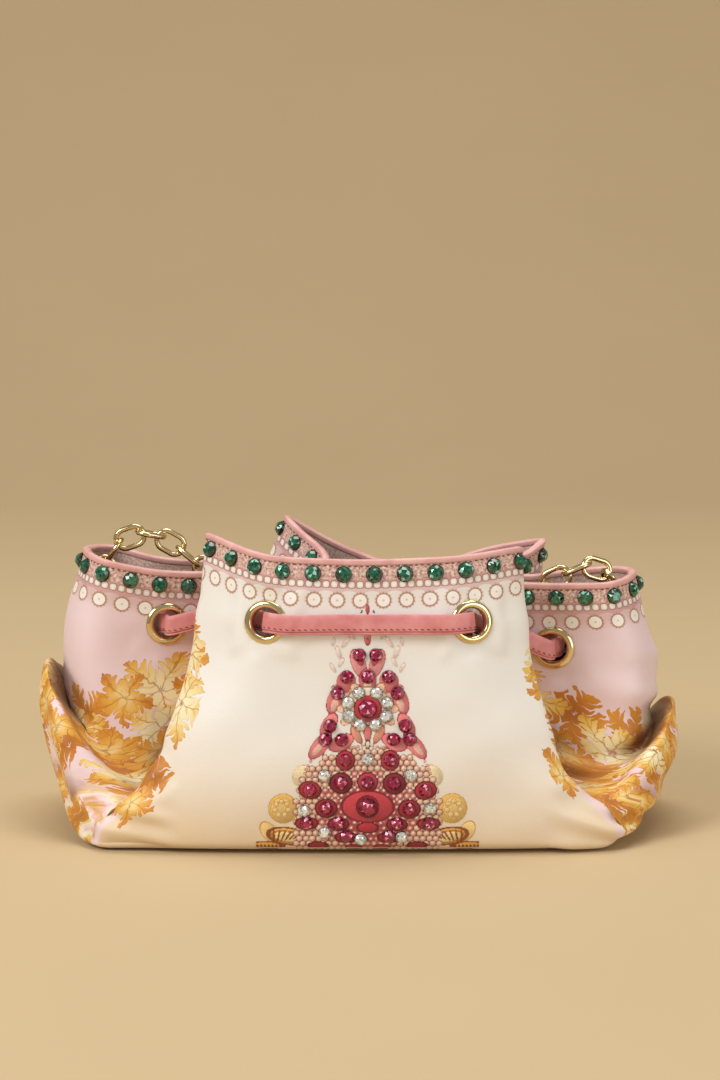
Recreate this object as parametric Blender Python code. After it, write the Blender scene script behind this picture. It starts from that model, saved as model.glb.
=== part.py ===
"""A small drawstring reticule: a soft satin pouch drawn in by a leather strap that runs in and out of
twelve metal eyelets, with a leather-bound rim, a row of faceted stones under it, a jewelled motif on
the front and a short chain handle between two rings inside its side lobes.

Units are metres, +Z is up and the front faces -Y. The origin is at the middle of the base, on the
surface that the bag stands on."""

import math
from collections import namedtuple

import bmesh
import bpy
import numpy as np

MM = 0.001

# Overall sizes of the pouch
BAG_WIDTH = 262 * MM
BAG_DEPTH = 126 * MM
RIM_HEIGHT = 118 * MM
CLOTH = 2.0 * MM

# Small clearance that parts which touch keep between them
GAP = 0.3 * MM

# Reach of the turn of each fold of the drawn-in rim, and the least width across it
FOLD_RADIUS = 7.5 * MM
FOLD_WIDTH = 11 * MM

# Set eyelets
EYELET_BORE = 11.2 * MM
EYELET_TUBE = 0.6 * MM
EYELET_FLANGE = 17.4 * MM
EYELET_DOME = 1.3 * MM
EYELET_BACK = 15.6 * MM
EYELET_BACK_LIP = 0.7 * MM
EYELET_SIDES = 12

# Drawstring, a folded leather strap
STRAP_WIDTH = 8.0 * MM
STRAP_THICKNESS = 2.6 * MM
STRAP_STEP = 7.5 * MM

# Leather binding over the rim
BINDING_LEG = 2.6 * MM
BINDING_LEATHER = 0.8 * MM
BINDING_GAP = 0.75 * MM

# Row of round stones under the binding, on its strip
STONE_SIZE = 6.2 * MM
STONE_RISE = 2.4 * MM
STONE_PITCH = 12.0 * MM
STONE_STRIP_WIDTH = 6.6 * MM
STONE_STRIP_THICKNESS = 0.5 * MM
STONE_DROP = 6.3 * MM
# Share of its setting's thickness that a stone is sunk by, and how far it keeps from the bottom of a
# fold, in stones
STONE_SINK = 0.6
STONE_CLEAR = 1.484

# Chain handle of plain oval links
LINK_LENGTH = 0.05344 * BAG_WIDTH
LINK_WIDTH = 10.0 * MM
LINK_WIRE = 2.2 * MM
LINK_SIDES = 10
WIRE_SIDES = 5

Colour = namedtuple("Colour", "base roughness metallic")
SATIN = Colour((0.87, 0.80, 0.72), 0.42, 0.0)
LEATHER = Colour((0.72, 0.30, 0.30), 0.50, 0.0)
GOLD = Colour((0.83, 0.62, 0.28), 0.18, 1.0)
EMERALD = Colour((0.01, 0.19, 0.11), 0.06, 0.0)
RUBY = Colour((0.45, 0.01, 0.10), 0.08, 0.0)

# Sections of one quarter of the pouch, from the base to the rim. Each place is (x, y, z) in shares of
# half the width, half the depth and the rim's height: face is the middle of the front or back, edge
# is where the face starts to turn, ridge and valley are the fold beside it, and side, shoulder and
# end go round the lobe. pinch is the fold's radius as a share of FOLD_RADIUS.
Section = namedtuple("Section", "name face edge ridge valley side shoulder end pinch")
SECTIONS = (
    Section("base", (0, 0.42, 0), (0.23, 0.40, 0), (0.36, 0.34, 0), (0.40, 0.28, 0),
            (0.43, 0.20, 0), (0.46, 0.11, 0), (0.47, 0, 0), 0.5),
    Section("foot", (0, 0.99, 0), (0.48, 0.98, 0), (0.78, 0.91, 0), (0.82, 0.78, 0),
            (0.84, 0.58, 0.01), (0.86, 0.32, 0.03), (0.87, 0, 0.05), 0.6),
    Section("low", (0, 1.03, 0.05), (0.49, 1.01, 0.05), (0.80, 0.92, 0.03), (0.85, 0.79, 0.04),
            (0.89, 0.62, 0.07), (0.94, 0.36, 0.15), (0.97, 0, 0.23), 0.7),
    Section("roll", (0, 1.03, 0.16), (0.48, 1.01, 0.15), (0.75, 0.90, 0.10), (0.80, 0.77, 0.11),
            (0.90, 0.65, 0.18), (0.98, 0.40, 0.34), (1.02, 0, 0.48), 0.8),
    Section("lip", (0, 1.02, 0.27), (0.45, 1.00, 0.25), (0.68, 0.87, 0.18), (0.73, 0.74, 0.18),
            (0.85, 0.64, 0.31), (0.96, 0.42, 0.55), (1.01, 0, 0.70), 0.8),
    Section("crease", (0, 0.99, 0.39), (0.41, 0.97, 0.38), (0.62, 0.80, 0.29), (0.58, 0.58, 0.12),
            (0.68, 0.50, 0.15), (0.84, 0.38, 0.26), (0.91, 0, 0.38), 0.9),
    Section("wall", (0, 0.94, 0.58), (0.35, 0.92, 0.58), (0.55, 0.70, 0.54), (0.40, 0.26, 0.43),
            (0.64, 0.29, 0.47), (0.89, 0.42, 0.54), (0.99, 0, 0.59), 1.0),
    Section("draw", (0, 0.88, 0.77), (0.31, 0.87, 0.77), (0.51, 0.64, 0.79), (0.34, 0.15, 0.72),
            (0.61, 0.24, 0.71), (0.84, 0.38, 0.75), (0.94, 0, 0.77), 1.0),
    Section("rim", (0, 0.83, 0.98), (0.30, 0.80, 0.99), (0.49, 0.59, 1.01), (0.34, 0.15, 0.88),
            (0.60, 0.24, 0.87), (0.80, 0.35, 0.91), (0.89, 0, 0.93), 1.0),
)

# How each quarter departs from those sections. across and along say which quarter it is. shift slides
# the drawn-in panel sideways at the rim, set_back moves its ridge towards the middle of the bag,
# face_lift, ridge_lift and lobe_lift raise the rim there, and draw_lift the lobe at its eyelets. roll
# scales the height of the side's lower fold, and foot the reach of the base.
Quarter = namedtuple(
    "Quarter",
    "name across along shift set_back face_lift ridge_lift lobe_lift draw_lift roll foot",
)
QUARTERS = (
    Quarter("front_right", 1, -1, 0.01, 0.00, 0.00, 0.00, -0.05, -0.08, 0.74, 0.91),
    Quarter("back_right", 1, 1, 0.12, 0.00, -0.20, -0.07, -0.05, -0.08, 0.74, 0.91),
    Quarter("back_left", -1, 1, 0.24, 0.00, -0.20, 0.02, 0.03, 0.00, 1.00, 1.02),
    Quarter("front_left", -1, -1, 0.01, -0.12, 0.00, 0.04, 0.03, 0.00, 1.00, 1.02),
)
# Share of each quarter's lift and shift that a section takes
UPPER_SHARE = {"rim": 1.0, "draw": 0.75, "wall": 0.35}
LOWER_FOLDS = ("low", "roll", "lip", "crease")


def unit(vector):
    """The vector, or each row of an array, at length one."""
    vector = np.asarray(vector, float)
    return vector / np.maximum(np.linalg.norm(vector, axis=-1, keepdims=True), 1e-12)


def quarter_points(section, quarter):
    """One quarter's control points at one section, from just past the face's middle to its end."""
    half = np.array([BAG_WIDTH / 2, BAG_DEPTH / 2, RIM_HEIGHT])
    face, edge, ridge, valley, side, shoulder, end = (np.array(p, float) for p in section[1:8])
    upper = UPPER_SHARE.get(section.name, 0.0)
    for place in (face, edge, ridge, valley):
        place[0] += upper * quarter.shift * quarter.across
    face[2] += upper * quarter.face_lift
    edge[2] += upper * quarter.face_lift / 2
    ridge[1] += upper * quarter.set_back
    ridge[2] += upper * quarter.ridge_lift
    for place, share in ((valley, 0.5), (side, 0.5), (shoulder, 1.0), (end, 1.0)):
        place[2] += share * upper * quarter.lobe_lift
    if section.name == "draw":
        for place in (valley, side, shoulder, end):
            place[2] += quarter.draw_lift
    if section.name in ("base", "foot"):
        for place in (ridge, valley, side, shoulder, end):
            place[0] *= quarter.foot
    if section.name in LOWER_FOLDS:
        for place, share in ((side, 0.5), (shoulder, 1.0), (end, 1.0)):
            place[2] *= 1 + share * (quarter.roll - 1)
    face, edge, ridge, valley, side, shoulder, end = (
        half * place for place in (face, edge, ridge, valley, side, shoulder, end)
    )
    reach = section.pinch * FOLD_RADIUS

    def fold(before, corner, after):
        one, other = corner + unit(before - corner) * reach, corner + unit(after - corner) * reach
        apart = np.linalg.norm(one - other)
        spread = unit(one - other) * max(section.pinch * FOLD_WIDTH - apart, 0) / 2
        return [one + spread, corner, other - spread]

    points = [face, (face + edge) / 2, edge]
    points += fold(edge, ridge, valley)
    points += [(ridge + valley) / 2]
    points += fold(ridge, valley, side)
    points += [side, (side + shoulder) / 2, shoulder, end]
    signs = np.array([quarter.across, quarter.along, 1])
    return [signs * p for p in points]


def control_net():
    """Rows of control points, one row for each section, going round anticlockwise from the front."""
    rows = []
    for section in SECTIONS:
        row = []
        for quarter in QUARTERS:
            points = quarter_points(section, quarter)
            backwards = quarter.across * quarter.along > 0
            points = points[::-1] if backwards else points
            if row:
                row[-1] = (row[-1] + points[0]) / 2
                points = points[1:]
            row += points
        row[0] = (row[0] + row.pop()) / 2
        rows.append(row)
    return np.array(rows)


NET = control_net()
AROUND = NET.shape[1]
UP = NET.shape[0] - 1
PER_QUARTER = AROUND // 4
# Places of the pieces on the skin, counted in control points round the bag and up it
EDGE_AT, RIDGE_AT, TUCK_AT, VALLEY_AT, SIDE_AT, SHOULDER_AT = 2, 4, 6, 8, 10, 12
DRAW_AT = 7


def spline_weights(samples, count, closed):
    """Weights of a uniform cubic B-spline, a row for each sample. An open one reaches its end points."""
    rows = np.zeros((len(samples), count))
    for row, place in zip(rows, samples):
        start = math.floor(place) if closed else min(math.floor(place), count - 2)
        t = place - start
        basis = ((1 - t) ** 3, 3 * t**3 - 6 * t**2 + 4, -3 * t**3 + 3 * t**2 + 3 * t + 1, t**3)
        for index, weight in enumerate(basis, start - 1):
            if closed:
                row[index % count] += weight / 6
            elif index < 0:
                row[0] += 2 * weight / 6
                row[1] -= weight / 6
            elif index > count - 1:
                row[count - 1] += 2 * weight / 6
                row[count - 2] -= weight / 6
            else:
                row[index] += weight / 6
    return rows


def drape(around, up):
    """Points of the smooth skin, before it is pressed flat at the eyelets: rows up by columns round."""
    return np.einsum(
        "ui,aj,ijk->uak",
        spline_weights(up, UP + 1, False),
        spline_weights(around, AROUND, True),
        NET,
    )


def drape_frame(around, up):
    """Point, direction round, direction up and outward normal of the smooth skin at one place."""
    step = 0.01
    low, high = max(up - step, 0), min(up + step, UP)
    place = drape([around], [up])[0, 0]
    along = unit(np.diff(drape([around - step, around + step], [up])[0], axis=0)[0])
    rise = unit(np.diff(drape([around], [low, high])[:, 0], axis=0)[0])
    normal = unit(np.cross(along, rise))
    return place, along, unit(np.cross(normal, along)), normal


def mirrored(at):
    """The same place in all four quarters, in control points round the bag."""
    half = AROUND / 2
    return [at, half - at, half + at, AROUND - at]


# Eyelets in each quarter: in the face beside its turn, in the hidden side of the fold, in the lobe
EYELET_PLACES = (
    ("face", (2.1, 2.3, 2.3, 1.85)),
    ("fold", (6.1, 6.1, 6.1, 6.1)),
    ("lobe", (10.0, 10.0, 10.0, 10.0)),
)
QUARTER_ORDER = ("front_right", "back_right", "back_left", "front_left")


def eyelet_list():
    """(name, place round the bag) of every eyelet, in the order that the strap passes them."""
    found = []
    for name, places in EYELET_PLACES:
        for index, quarter in enumerate(QUARTER_ORDER):
            found.append((f"eyelet_{name}_{quarter}", mirrored(places[index])[index]))
    return sorted(found, key=lambda item: item[1])


EYELETS = [(name, at, drape_frame(at, DRAW_AT)) for name, at in eyelet_list()]
FLAT_REACH = EYELET_FLANGE / 2 + 4 * GAP
FLAT_FADE = 6 * MM
# Control points to either side within which an eyelet flattens the cloth fully, and at all
FLAT_SPAN = (1.2, 1.9)


def skin(around, up):
    """Points of the cloth's outer face, rows up by columns round, flat where an eyelet clamps it."""
    points = drape(around, up)
    columns = np.asarray(around, float)[None, :]
    for _, at, (centre, along, rise, normal) in EYELETS:
        offset = points - centre
        height = offset @ normal
        sideways = np.maximum(abs(offset @ along), abs(offset @ rise))
        apart = abs((columns - at + AROUND / 2) % AROUND - AROUND / 2)
        fade = np.clip((FLAT_REACH + FLAT_FADE - sideways) / FLAT_FADE, 0, 1)
        fade = fade * np.clip((FLAT_SPAN[1] - apart) / (FLAT_SPAN[1] - FLAT_SPAN[0]), 0, 1)
        share = fade * fade * (3 - 2 * fade)
        points = points - (share * height)[..., None] * normal
    return points


def facet_normals(points):
    """Outward directions at a closed grid's points, lengthened so that facets moved out along them
    keep their distance from those they left."""
    across = np.roll(points, -1, axis=1)
    flat = unit(np.cross(across[1:] - points[:-1], points[1:] - across[:-1]))
    ahead = unit(np.concatenate([flat[:1], flat[:-1] + flat[1:], flat[-1:]]))
    behind = np.roll(ahead, 1, axis=1)
    middle = unit(ahead + behind)
    return middle / np.clip((middle * ahead).sum(axis=-1, keepdims=True), 0.65, 1)


class Ruler:
    """Turns lengths along the skin into places on it, and back."""

    def __init__(self, around=None, up=None):
        self.places = np.linspace(0, AROUND, 1601) if around is None else np.linspace(0, UP, 401)
        if around is None:
            line = drape(self.places, [up])[0]
        else:
            line = drape([around], self.places)[:, 0]
        steps = np.linalg.norm(np.diff(line, axis=0), axis=1)
        self.lengths = np.concatenate([[0], np.cumsum(steps)])

    def length(self, place):
        return float(np.interp(place, self.places, self.lengths))

    def place(self, length):
        return float(np.interp(length, self.lengths, self.places))


DRAW_RULER = Ruler(up=DRAW_AT)
RIM_RULER = Ruler(up=UP)


# Rows of the shell below the eyelets, in sections up the skin, and its widest column elsewhere
ROWS_BELOW = (0, 0.9, 1.9, 2.7, 3.4, 4.1, 4.8, 5.6)
COLUMN_WIDTH = 15 * MM
# Columns at the turn of each fold, in control points from its middle
FOLD_COLUMNS = (-0.6, 0, 0.6)
# Depth under the rim of the row that the stones' strip lies above
BAND_DEPTH = 9.8 * MM
# Least distance of the next row down from it, away from the eyelets
BAND_CLEAR = 1.5 * MM


def shell_columns():
    """Places round the bag of the shell's columns, and the eyelet between each and the next, if any."""
    sides = []
    for _, at, _ in EYELETS:
        here = DRAW_RULER.length(at)
        sides.append((DRAW_RULER.place(here - FLAT_REACH), DRAW_RULER.place(here + FLAT_REACH)))
    folds = sorted(
        at + spread for fold in (RIDGE_AT, VALLEY_AT) for at in mirrored(fold) for spread in FOLD_COLUMNS
    )
    columns = []
    for index, (start, stop) in enumerate(sides):
        beyond = sides[(index + 1) % len(sides)][0]
        beyond += AROUND if beyond < stop else 0
        columns += [(start, index), (stop, None)]
        within = [(at, None) for at in folds if stop < at < beyond]
        if not within:
            whole = (DRAW_RULER.length(beyond % AROUND) - DRAW_RULER.length(stop)) % DRAW_RULER.lengths[-1]
            parts = max(2, round(whole / COLUMN_WIDTH))
            within = [((stop + (beyond - stop) * i / parts) % AROUND, None) for i in range(1, parts)]
        columns += within
    return columns


def shell_grid():
    """Outer points and normals of the shell, rows by columns, and the eyelet of each column."""
    columns = shell_columns()
    limits = []
    for column, (place, index) in enumerate(columns):
        ruler = Ruler(around=place)
        middle, top = ruler.length(DRAW_AT), ruler.length(UP) - BAND_DEPTH
        high = middle + FLAT_REACH
        if index is None and columns[column - 1][1] is None:
            high = min(high, top - BAND_CLEAR)
        limits.append((ruler.place(middle - FLAT_REACH), ruler.place(high), ruler.place(top)))
    points = np.array(
        [
            skin([place], [*ROWS_BELOW, low, high, band, UP])[:, 0]
            for (place, _), (low, high, band) in zip(columns, limits)
        ]
    ).swapaxes(0, 1)
    low_row = len(ROWS_BELOW)
    flat = []
    for column, (_, index) in enumerate(columns):
        if index is not None:
            sides = (column, (column + 1) % len(columns))
            flat += [(row, c, index) for row in (low_row, low_row + 1) for c in sides]
    for row, c, index in flat:
        centre, normal = EYELETS[index][2][0], EYELETS[index][2][3]
        points[row, c] -= normal * ((points[row, c] - centre) @ normal)
    normals = facet_normals(points)
    normals[0] = (0, 0, -1)
    for row, c, index in flat:
        normals[row, c] = EYELETS[index][2][3]
    return points, normals, [index for _, index in columns]


SHELL_POINTS, SHELL_NORMALS, SHELL_EYELETS = shell_grid()
EYELET_ROW = len(ROWS_BELOW)


class Faces:
    """Collects points and faces of one solid."""

    def __init__(self):
        self.points, self.faces = [], []

    def add(self, points):
        first = len(self.points)
        self.points += [tuple(float(c) for c in p) for p in points]
        return list(range(first, first + len(points)))

    def bridge(self, one, other, closed=True):
        """Quads between two rows of equal length."""
        count = len(one)
        for i in range(count if closed else count - 1):
            j = (i + 1) % count
            self.faces.append((one[i], one[j], other[j], other[i]))

    def solid(self, name, colour, smooth=False):
        mesh = bpy.data.meshes.new(name)
        mesh.from_pydata(self.points, [], self.faces)
        work = bmesh.new()
        work.from_mesh(mesh)
        bmesh.ops.recalc_face_normals(work, faces=work.faces)
        if work.calc_volume(signed=True) < 0:
            bmesh.ops.reverse_faces(work, faces=work.faces)
        for face in work.faces:
            face.smooth = smooth
        work.to_mesh(mesh)
        work.free()
        thing = bpy.data.objects.new(name, mesh)
        bpy.context.scene.collection.objects.link(thing)
        mesh.materials.append(material(name, colour))
        return thing


def material(name, colour):
    made = bpy.data.materials.new(name)
    made.use_nodes = True
    shader = made.node_tree.nodes["Principled BSDF"]
    shader.inputs["Base Color"].default_value = (*colour.base, 1)
    shader.inputs["Roughness"].default_value = colour.roughness
    shader.inputs["Metallic"].default_value = colour.metallic
    return made


def ring_points(centre, one, other, radius, count):
    """Points round a circle whose corners lie evenly about the four directions between its axes."""
    angles = [math.tau * (i + 0.5) / count - 3 * math.pi / 4 - math.tau / 2 / count for i in range(count)]
    return [centre + radius * (math.cos(a) * one + math.sin(a) * other) for a in angles]


def pouch():
    """The cloth shell, with a round hole for each eyelet."""
    made = Faces()
    rows, count = SHELL_POINTS.shape[:2]
    outer = [made.add(row) for row in SHELL_POINTS]
    inner = [made.add(p - CLOTH * n) for p, n in zip(SHELL_POINTS, SHELL_NORMALS)]
    holes = {}
    for column, index in enumerate(SHELL_EYELETS):
        if index is None:
            continue
        centre, along, rise, normal = EYELETS[index][2]
        radius = EYELET_BORE / 2 + EYELET_TUBE + GAP
        rim = ring_points(centre, along, rise, radius, EYELET_SIDES)
        holes[column] = (made.add(rim), made.add([p - CLOTH * normal for p in rim]))
        made.bridge(*holes[column])
    for which, layer in enumerate((outer, inner)):
        for row in range(rows - 1):
            for c in range(count):
                d = (c + 1) % count
                corners = [layer[row][c], layer[row][d], layer[row + 1][d], layer[row + 1][c]]
                if row == EYELET_ROW and c in holes:
                    add_pierced(made, corners, holes[c][which])
                else:
                    a, b, e, f = corners
                    made.faces += [(a, b, e), (a, e, f)]
        made.faces.append(tuple(layer[0]))
    made.bridge(outer[-1], inner[-1])
    return made.solid("pouch", SATIN, smooth=True)


def add_pierced(made, corners, rim):
    """A flat face round a hole, in triangles: a fan from each corner and one across each side."""
    quarter = len(rim) // 4
    for side in range(4):
        corner, following = corners[side], corners[(side + 1) % 4]
        start = side * quarter - quarter // 2
        for step in range(quarter):
            a, b = rim[(start + step) % len(rim)], rim[(start + step + 1) % len(rim)]
            made.faces.append((corner, b, a))
        made.faces.append((corner, following, rim[(start + quarter) % len(rim)]))


def band_point(column, depth, lift):
    """A point over the shell's top band, at a depth under the rim and a height off the cloth."""
    share = depth / BAND_DEPTH
    point = SHELL_POINTS[-1, column] * (1 - share) + SHELL_POINTS[-2, column] * share
    normal = SHELL_NORMALS[-1, column] * (1 - share) + SHELL_NORMALS[-2, column] * share
    return point + lift * normal


def rim_binding():
    """The leather that is folded over the rim."""
    made = Faces()
    near, far = BINDING_GAP, BINDING_GAP + BINDING_LEATHER
    back_near, back_far = -CLOTH - near, -CLOTH - far
    profile = [
        (BINDING_LEG, far),
        (-far, far),
        (-far, back_far),
        (BINDING_LEG, back_far),
        (BINDING_LEG, back_near),
        (-near, back_near),
        (-near, near),
        (BINDING_LEG, near),
    ]
    count = SHELL_POINTS.shape[1]
    loops = [made.add([band_point(c, depth, lift) for c in range(count)]) for depth, lift in profile]
    for one, other in zip(loops, loops[1:] + loops[:1]):
        made.bridge(one, other)
    return made.solid("rim_binding", LEATHER)


def gem(centre, normal, size, rise, root):
    """A round stone with eight facets and a table, its sides carried down by root into its setting."""
    across = unit(np.cross(normal, (0.31, 0.2, 0.93)))
    other = np.cross(normal, across)
    levels = ((-root, 0.5), (rise, 0.28))
    return [
        ring_points(centre + height * normal, across, other, share * size, 8)
        for height, share in levels
    ]


def fuse_gems(made, gems):
    for levels in gems:
        rings = [made.add(level) for level in levels]
        for one, other in zip(rings, rings[1:]):
            made.bridge(one, other)
        made.faces += [tuple(rings[0]), tuple(rings[-1])]


def joined(base, gems, name, colour):
    """One solid of a thin base and the stones that are sunk in it."""
    backing = base.solid(name, colour)
    stones = Faces()
    fuse_gems(stones, gems)
    cutter = stones.solid(name + "_stones", colour)
    cutter.hide_render = True
    cutter.display_type = "WIRE"
    union = backing.modifiers.new("stones", "BOOLEAN")
    union.operation, union.solver, union.object = "UNION", "EXACT", cutter
    return backing


def rim_stones():
    """The row of stones, with the strip that carries them."""
    made = Faces()
    count = SHELL_POINTS.shape[1]
    top, bottom = STONE_DROP - STONE_STRIP_WIDTH / 2, STONE_DROP + STONE_STRIP_WIDTH / 2
    low, high = GAP, GAP + STONE_STRIP_THICKNESS
    loops = [
        made.add([band_point(c, depth, lift) for c in range(count)])
        for depth, lift in ((top, low), (top, high), (bottom, high), (bottom, low))
    ]
    for one, other in zip(loops, loops[1:] + loops[:1]):
        made.bridge(one, other)
    line = np.array([band_point(c, STONE_DROP, high) for c in [*range(count), 0]])
    lengths = np.concatenate([[0], np.cumsum(np.linalg.norm(np.diff(line, axis=0), axis=1))])
    number = round(lengths[-1] / STONE_PITCH)
    turns = mirrored(VALLEY_AT)
    valleys = [lengths[c] for c, (at, _) in enumerate(shell_columns()) if at in turns]
    gems = []
    for index in range(number):
        here = lengths[-1] * (index + 0.5) / number
        column = int(np.searchsorted(lengths, here) - 1)
        share = (here - lengths[column]) / (lengths[column + 1] - lengths[column])
        place = line[column] * (1 - share) + line[column + 1] * share
        ends = [band_point(c % count, STONE_DROP, 0) for c in (column, column + 1)]
        along = unit(ends[1] - ends[0])
        down = unit(band_point(column, BAND_DEPTH, 0) - band_point(column, 0, 0))
        normal = unit(np.cross(along, -down))
        if min(abs(here - valley) for valley in valleys) > STONE_CLEAR * STONE_SIZE:
            gems.append(gem(place, normal, STONE_SIZE, STONE_RISE, STONE_SINK * STONE_STRIP_THICKNESS))
    return joined(made, gems, "rim_stones", EMERALD)


def eyelet(name, frame):
    """A set eyelet: domed flange outside, tube through the cloth, rolled lip at the back."""
    centre, along, rise, normal = frame
    bore, tube = EYELET_BORE / 2, EYELET_BORE / 2 + EYELET_TUBE
    flange, back = EYELET_FLANGE / 2, EYELET_BACK / 2
    behind = -CLOTH - GAP
    profile = [
        (bore, EYELET_DOME),
        (flange, GAP),
        (tube, GAP),
        (tube, behind),
        (back, behind),
        (bore, behind - EYELET_BACK_LIP),
    ]
    made = Faces()
    rings = [
        made.add(ring_points(centre + height * normal, along, rise, radius, EYELET_SIDES))
        for radius, height in profile
    ]
    for one, other in zip(rings, rings[1:] + rings[:1]):
        made.bridge(one, other)
    return made.solid(name, GOLD, smooth=True)


def smooth_path(points, step, closed):
    """Points at an even pitch along a curve through the given points. Columns past the third go with
    them and don't count for the pitch."""
    points = np.array(points, float)
    count = len(points)
    fine = []
    for i in range(count if closed else count - 1):
        a, b, c, d = (
            points[j % count] if closed else points[min(max(j, 0), count - 1)]
            for j in (i - 1, i, i + 1, i + 2)
        )
        for t in np.linspace(0, 1, 12, endpoint=False):
            bend = (2 * a - 5 * b + 4 * c - d) * t**2 + (3 * b - 3 * c + d - a) * t**3
            fine.append((2 * b + (c - a) * t + bend) / 2)
    fine.append(points[0] if closed else points[-1])
    fine = np.array(fine)
    steps = np.linalg.norm(np.diff(fine[:, :3], axis=0), axis=1)
    lengths = np.concatenate([[0], np.cumsum(steps)])
    number = max(4, round(lengths[-1] / step))
    places = np.linspace(0, lengths[-1], number + 1)[: number if closed else None]
    return np.stack([np.interp(places, lengths, column) for column in fine.T], axis=1)


# Way of the strap through an eyelet: distances along the cloth and off its outer face. The first is
# where it lies beside the eyelet and the second where it turns into the bore.
STRAP_BESIDE = (10.5 * MM, 4.6 * MM)
STRAP_TURN = (1.8 * MM, 4.6 * MM)
# Height of its middle line off the cloth where it lies along the front and the back
STRAP_OFF = 3.4 * MM
# Eyelets after which the strap goes on outside the bag, in the order round it
STRAP_COMES_OUT = (1, 3, 5, 7, 9, 11)
STRAP_RUN_POINTS = 5


def strap_path():
    """Places and width directions of the strap's middle line, in rows of six."""
    stops = []
    for index, (name, at, (centre, along, rise, normal)) in enumerate(EYELETS):
        middle = centre - CLOTH / 2 * normal
        heading_out = 1 if index in STRAP_COMES_OUT else -1

        def stop(side, reach_off):
            reach, off = reach_off
            place = middle + side * reach * along + side * heading_out * off * normal
            return np.concatenate([place, rise])

        others = EYELETS[index - 1], EYELETS[(index + 1) % len(EYELETS)]
        on_face = ["face" in name and "face" in other[0] for other in others]
        stops += [stop(-1, STRAP_BESIDE)] if on_face[0] else []
        stops += [stop(-1, STRAP_TURN), np.concatenate([middle, rise]), stop(1, STRAP_TURN)]
        if on_face[1]:
            stops += [stop(1, STRAP_BESIDE), *face_run(at, others[1][1])]
    return np.array(stops)


def face_run(at, following):
    """Stops of the strap where it lies along the front or the back between two eyelets."""
    whole = DRAW_RULER.lengths[-1]
    start, end = DRAW_RULER.length(at), DRAW_RULER.length(following)
    start -= whole if start > end else 0
    stops = []
    for share in np.linspace(0, 1, STRAP_RUN_POINTS + 2)[1:-1]:
        here = start + (end - start) * share
        if min(here - start, end - here) > 2 * STRAP_BESIDE[0]:
            point, _, rise, normal = drape_frame(DRAW_RULER.place(here % whole), DRAW_AT)
            stops.append(np.concatenate([point + STRAP_OFF * normal, rise]))
    return stops


def drawstring():
    """The strap, one closed loop through every eyelet."""
    line = smooth_path(strap_path(), STRAP_STEP, True)
    made = Faces()
    rings = []
    for i, stop in enumerate(line):
        place, width = stop[:3], stop[3:]
        tangent = unit(line[(i + 1) % len(line), :3] - line[i - 1, :3])
        width = unit(width - tangent * (width @ tangent))
        half_w = width * STRAP_WIDTH / 2
        half_t = np.cross(tangent, width) * STRAP_THICKNESS / 2
        rings.append(
            made.add([place + a * half_w + b * half_t for a, b in ((1, 1), (1, -1), (-1, -1), (-1, 1))])
        )
    for one, other in zip(rings, rings[1:] + rings[:1]):
        made.bridge(one, other)
    return made.solid("drawstring", LEATHER)


# Loops on small plates that hold the chain's ends, inside the ends of the side lobes
ANCHOR_PLATE = (7.0 * MM, 11.0 * MM, 0.8 * MM)
ANCHOR_REACH = 8.5 * MM
ANCHOR_SPREAD = 9.0 * MM
ANCHOR_WIRE = 1.8 * MM
LINK_CLEARANCE = 0.4 * MM
LINK_COUNT = 29


def shell_facet(around, row):
    """Middle, direction round, direction up and outward normal of the shell's facet at a place."""
    columns = [place for place, _ in shell_columns()]
    apart = [(around - place) % AROUND for place in columns]
    c = int(np.argmin(apart))
    d = (c + 1) % len(columns)
    corners = [SHELL_POINTS[row, c], SHELL_POINTS[row, d], SHELL_POINTS[row + 1, d], SHELL_POINTS[row + 1, c]]
    along = unit(corners[1] + corners[2] - corners[0] - corners[3])
    rise = unit(corners[2] + corners[3] - corners[0] - corners[1])
    normal = unit(np.cross(along, rise))
    return sum(corners) / 4, along, unit(np.cross(normal, along)), normal


def anchor_frame(around):
    """Middle of an anchor plate's outer face and its directions, out being into the bag."""
    centre, along, rise, normal = shell_facet(around, EYELET_ROW)
    return centre - (CLOTH + 2 * GAP) * normal, along, rise, -normal


def anchor(name, around):
    """A loop on its plate: the first and last links hang in it."""
    centre, along, rise, out = anchor_frame(around)
    wide, tall, thick = ANCHOR_PLATE
    plate = Faces()
    levels = [
        plate.add(
            [
                centre + height * out + a * wide / 2 * along + b * tall / 2 * rise
                for a, b in ((-1, -1), (1, -1), (1, 1), (-1, 1))
            ]
        )
        for height in (0, thick)
    ]
    plate.bridge(*levels)
    plate.faces += [tuple(levels[0]), tuple(levels[1])]
    body = plate.solid(name, GOLD)
    half, reach = (ANCHOR_SPREAD - ANCHOR_WIRE) / 2, ANCHOR_REACH - ANCHOR_WIRE / 2
    way = [(-half, thick / 2), (-half, reach * 0.7), (-half * 0.6, reach), (half * 0.6, reach),
           (half, reach * 0.7), (half, thick / 2)]
    line = [centre + up * rise + height * out for up, height in way]
    loop = Faces()
    rings = []
    for i, place in enumerate(line):
        tangent = unit(line[min(i + 1, len(line) - 1)] - line[max(i - 1, 0)])
        rings.append(
            loop.add(ring_points(place, along, np.cross(tangent, along), ANCHOR_WIRE / 2, WIRE_SIDES))
        )
    for one, other in zip(rings, rings[1:]):
        loop.bridge(one, other)
    loop.faces += [tuple(rings[0]), tuple(rings[-1])]
    cutter = loop.solid(name + "_loop", GOLD)
    cutter.hide_render = True
    cutter.display_type = "WIRE"
    union = body.modifiers.new("loop", "BOOLEAN")
    union.operation, union.solver, union.object = "UNION", "EXACT", cutter


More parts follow.
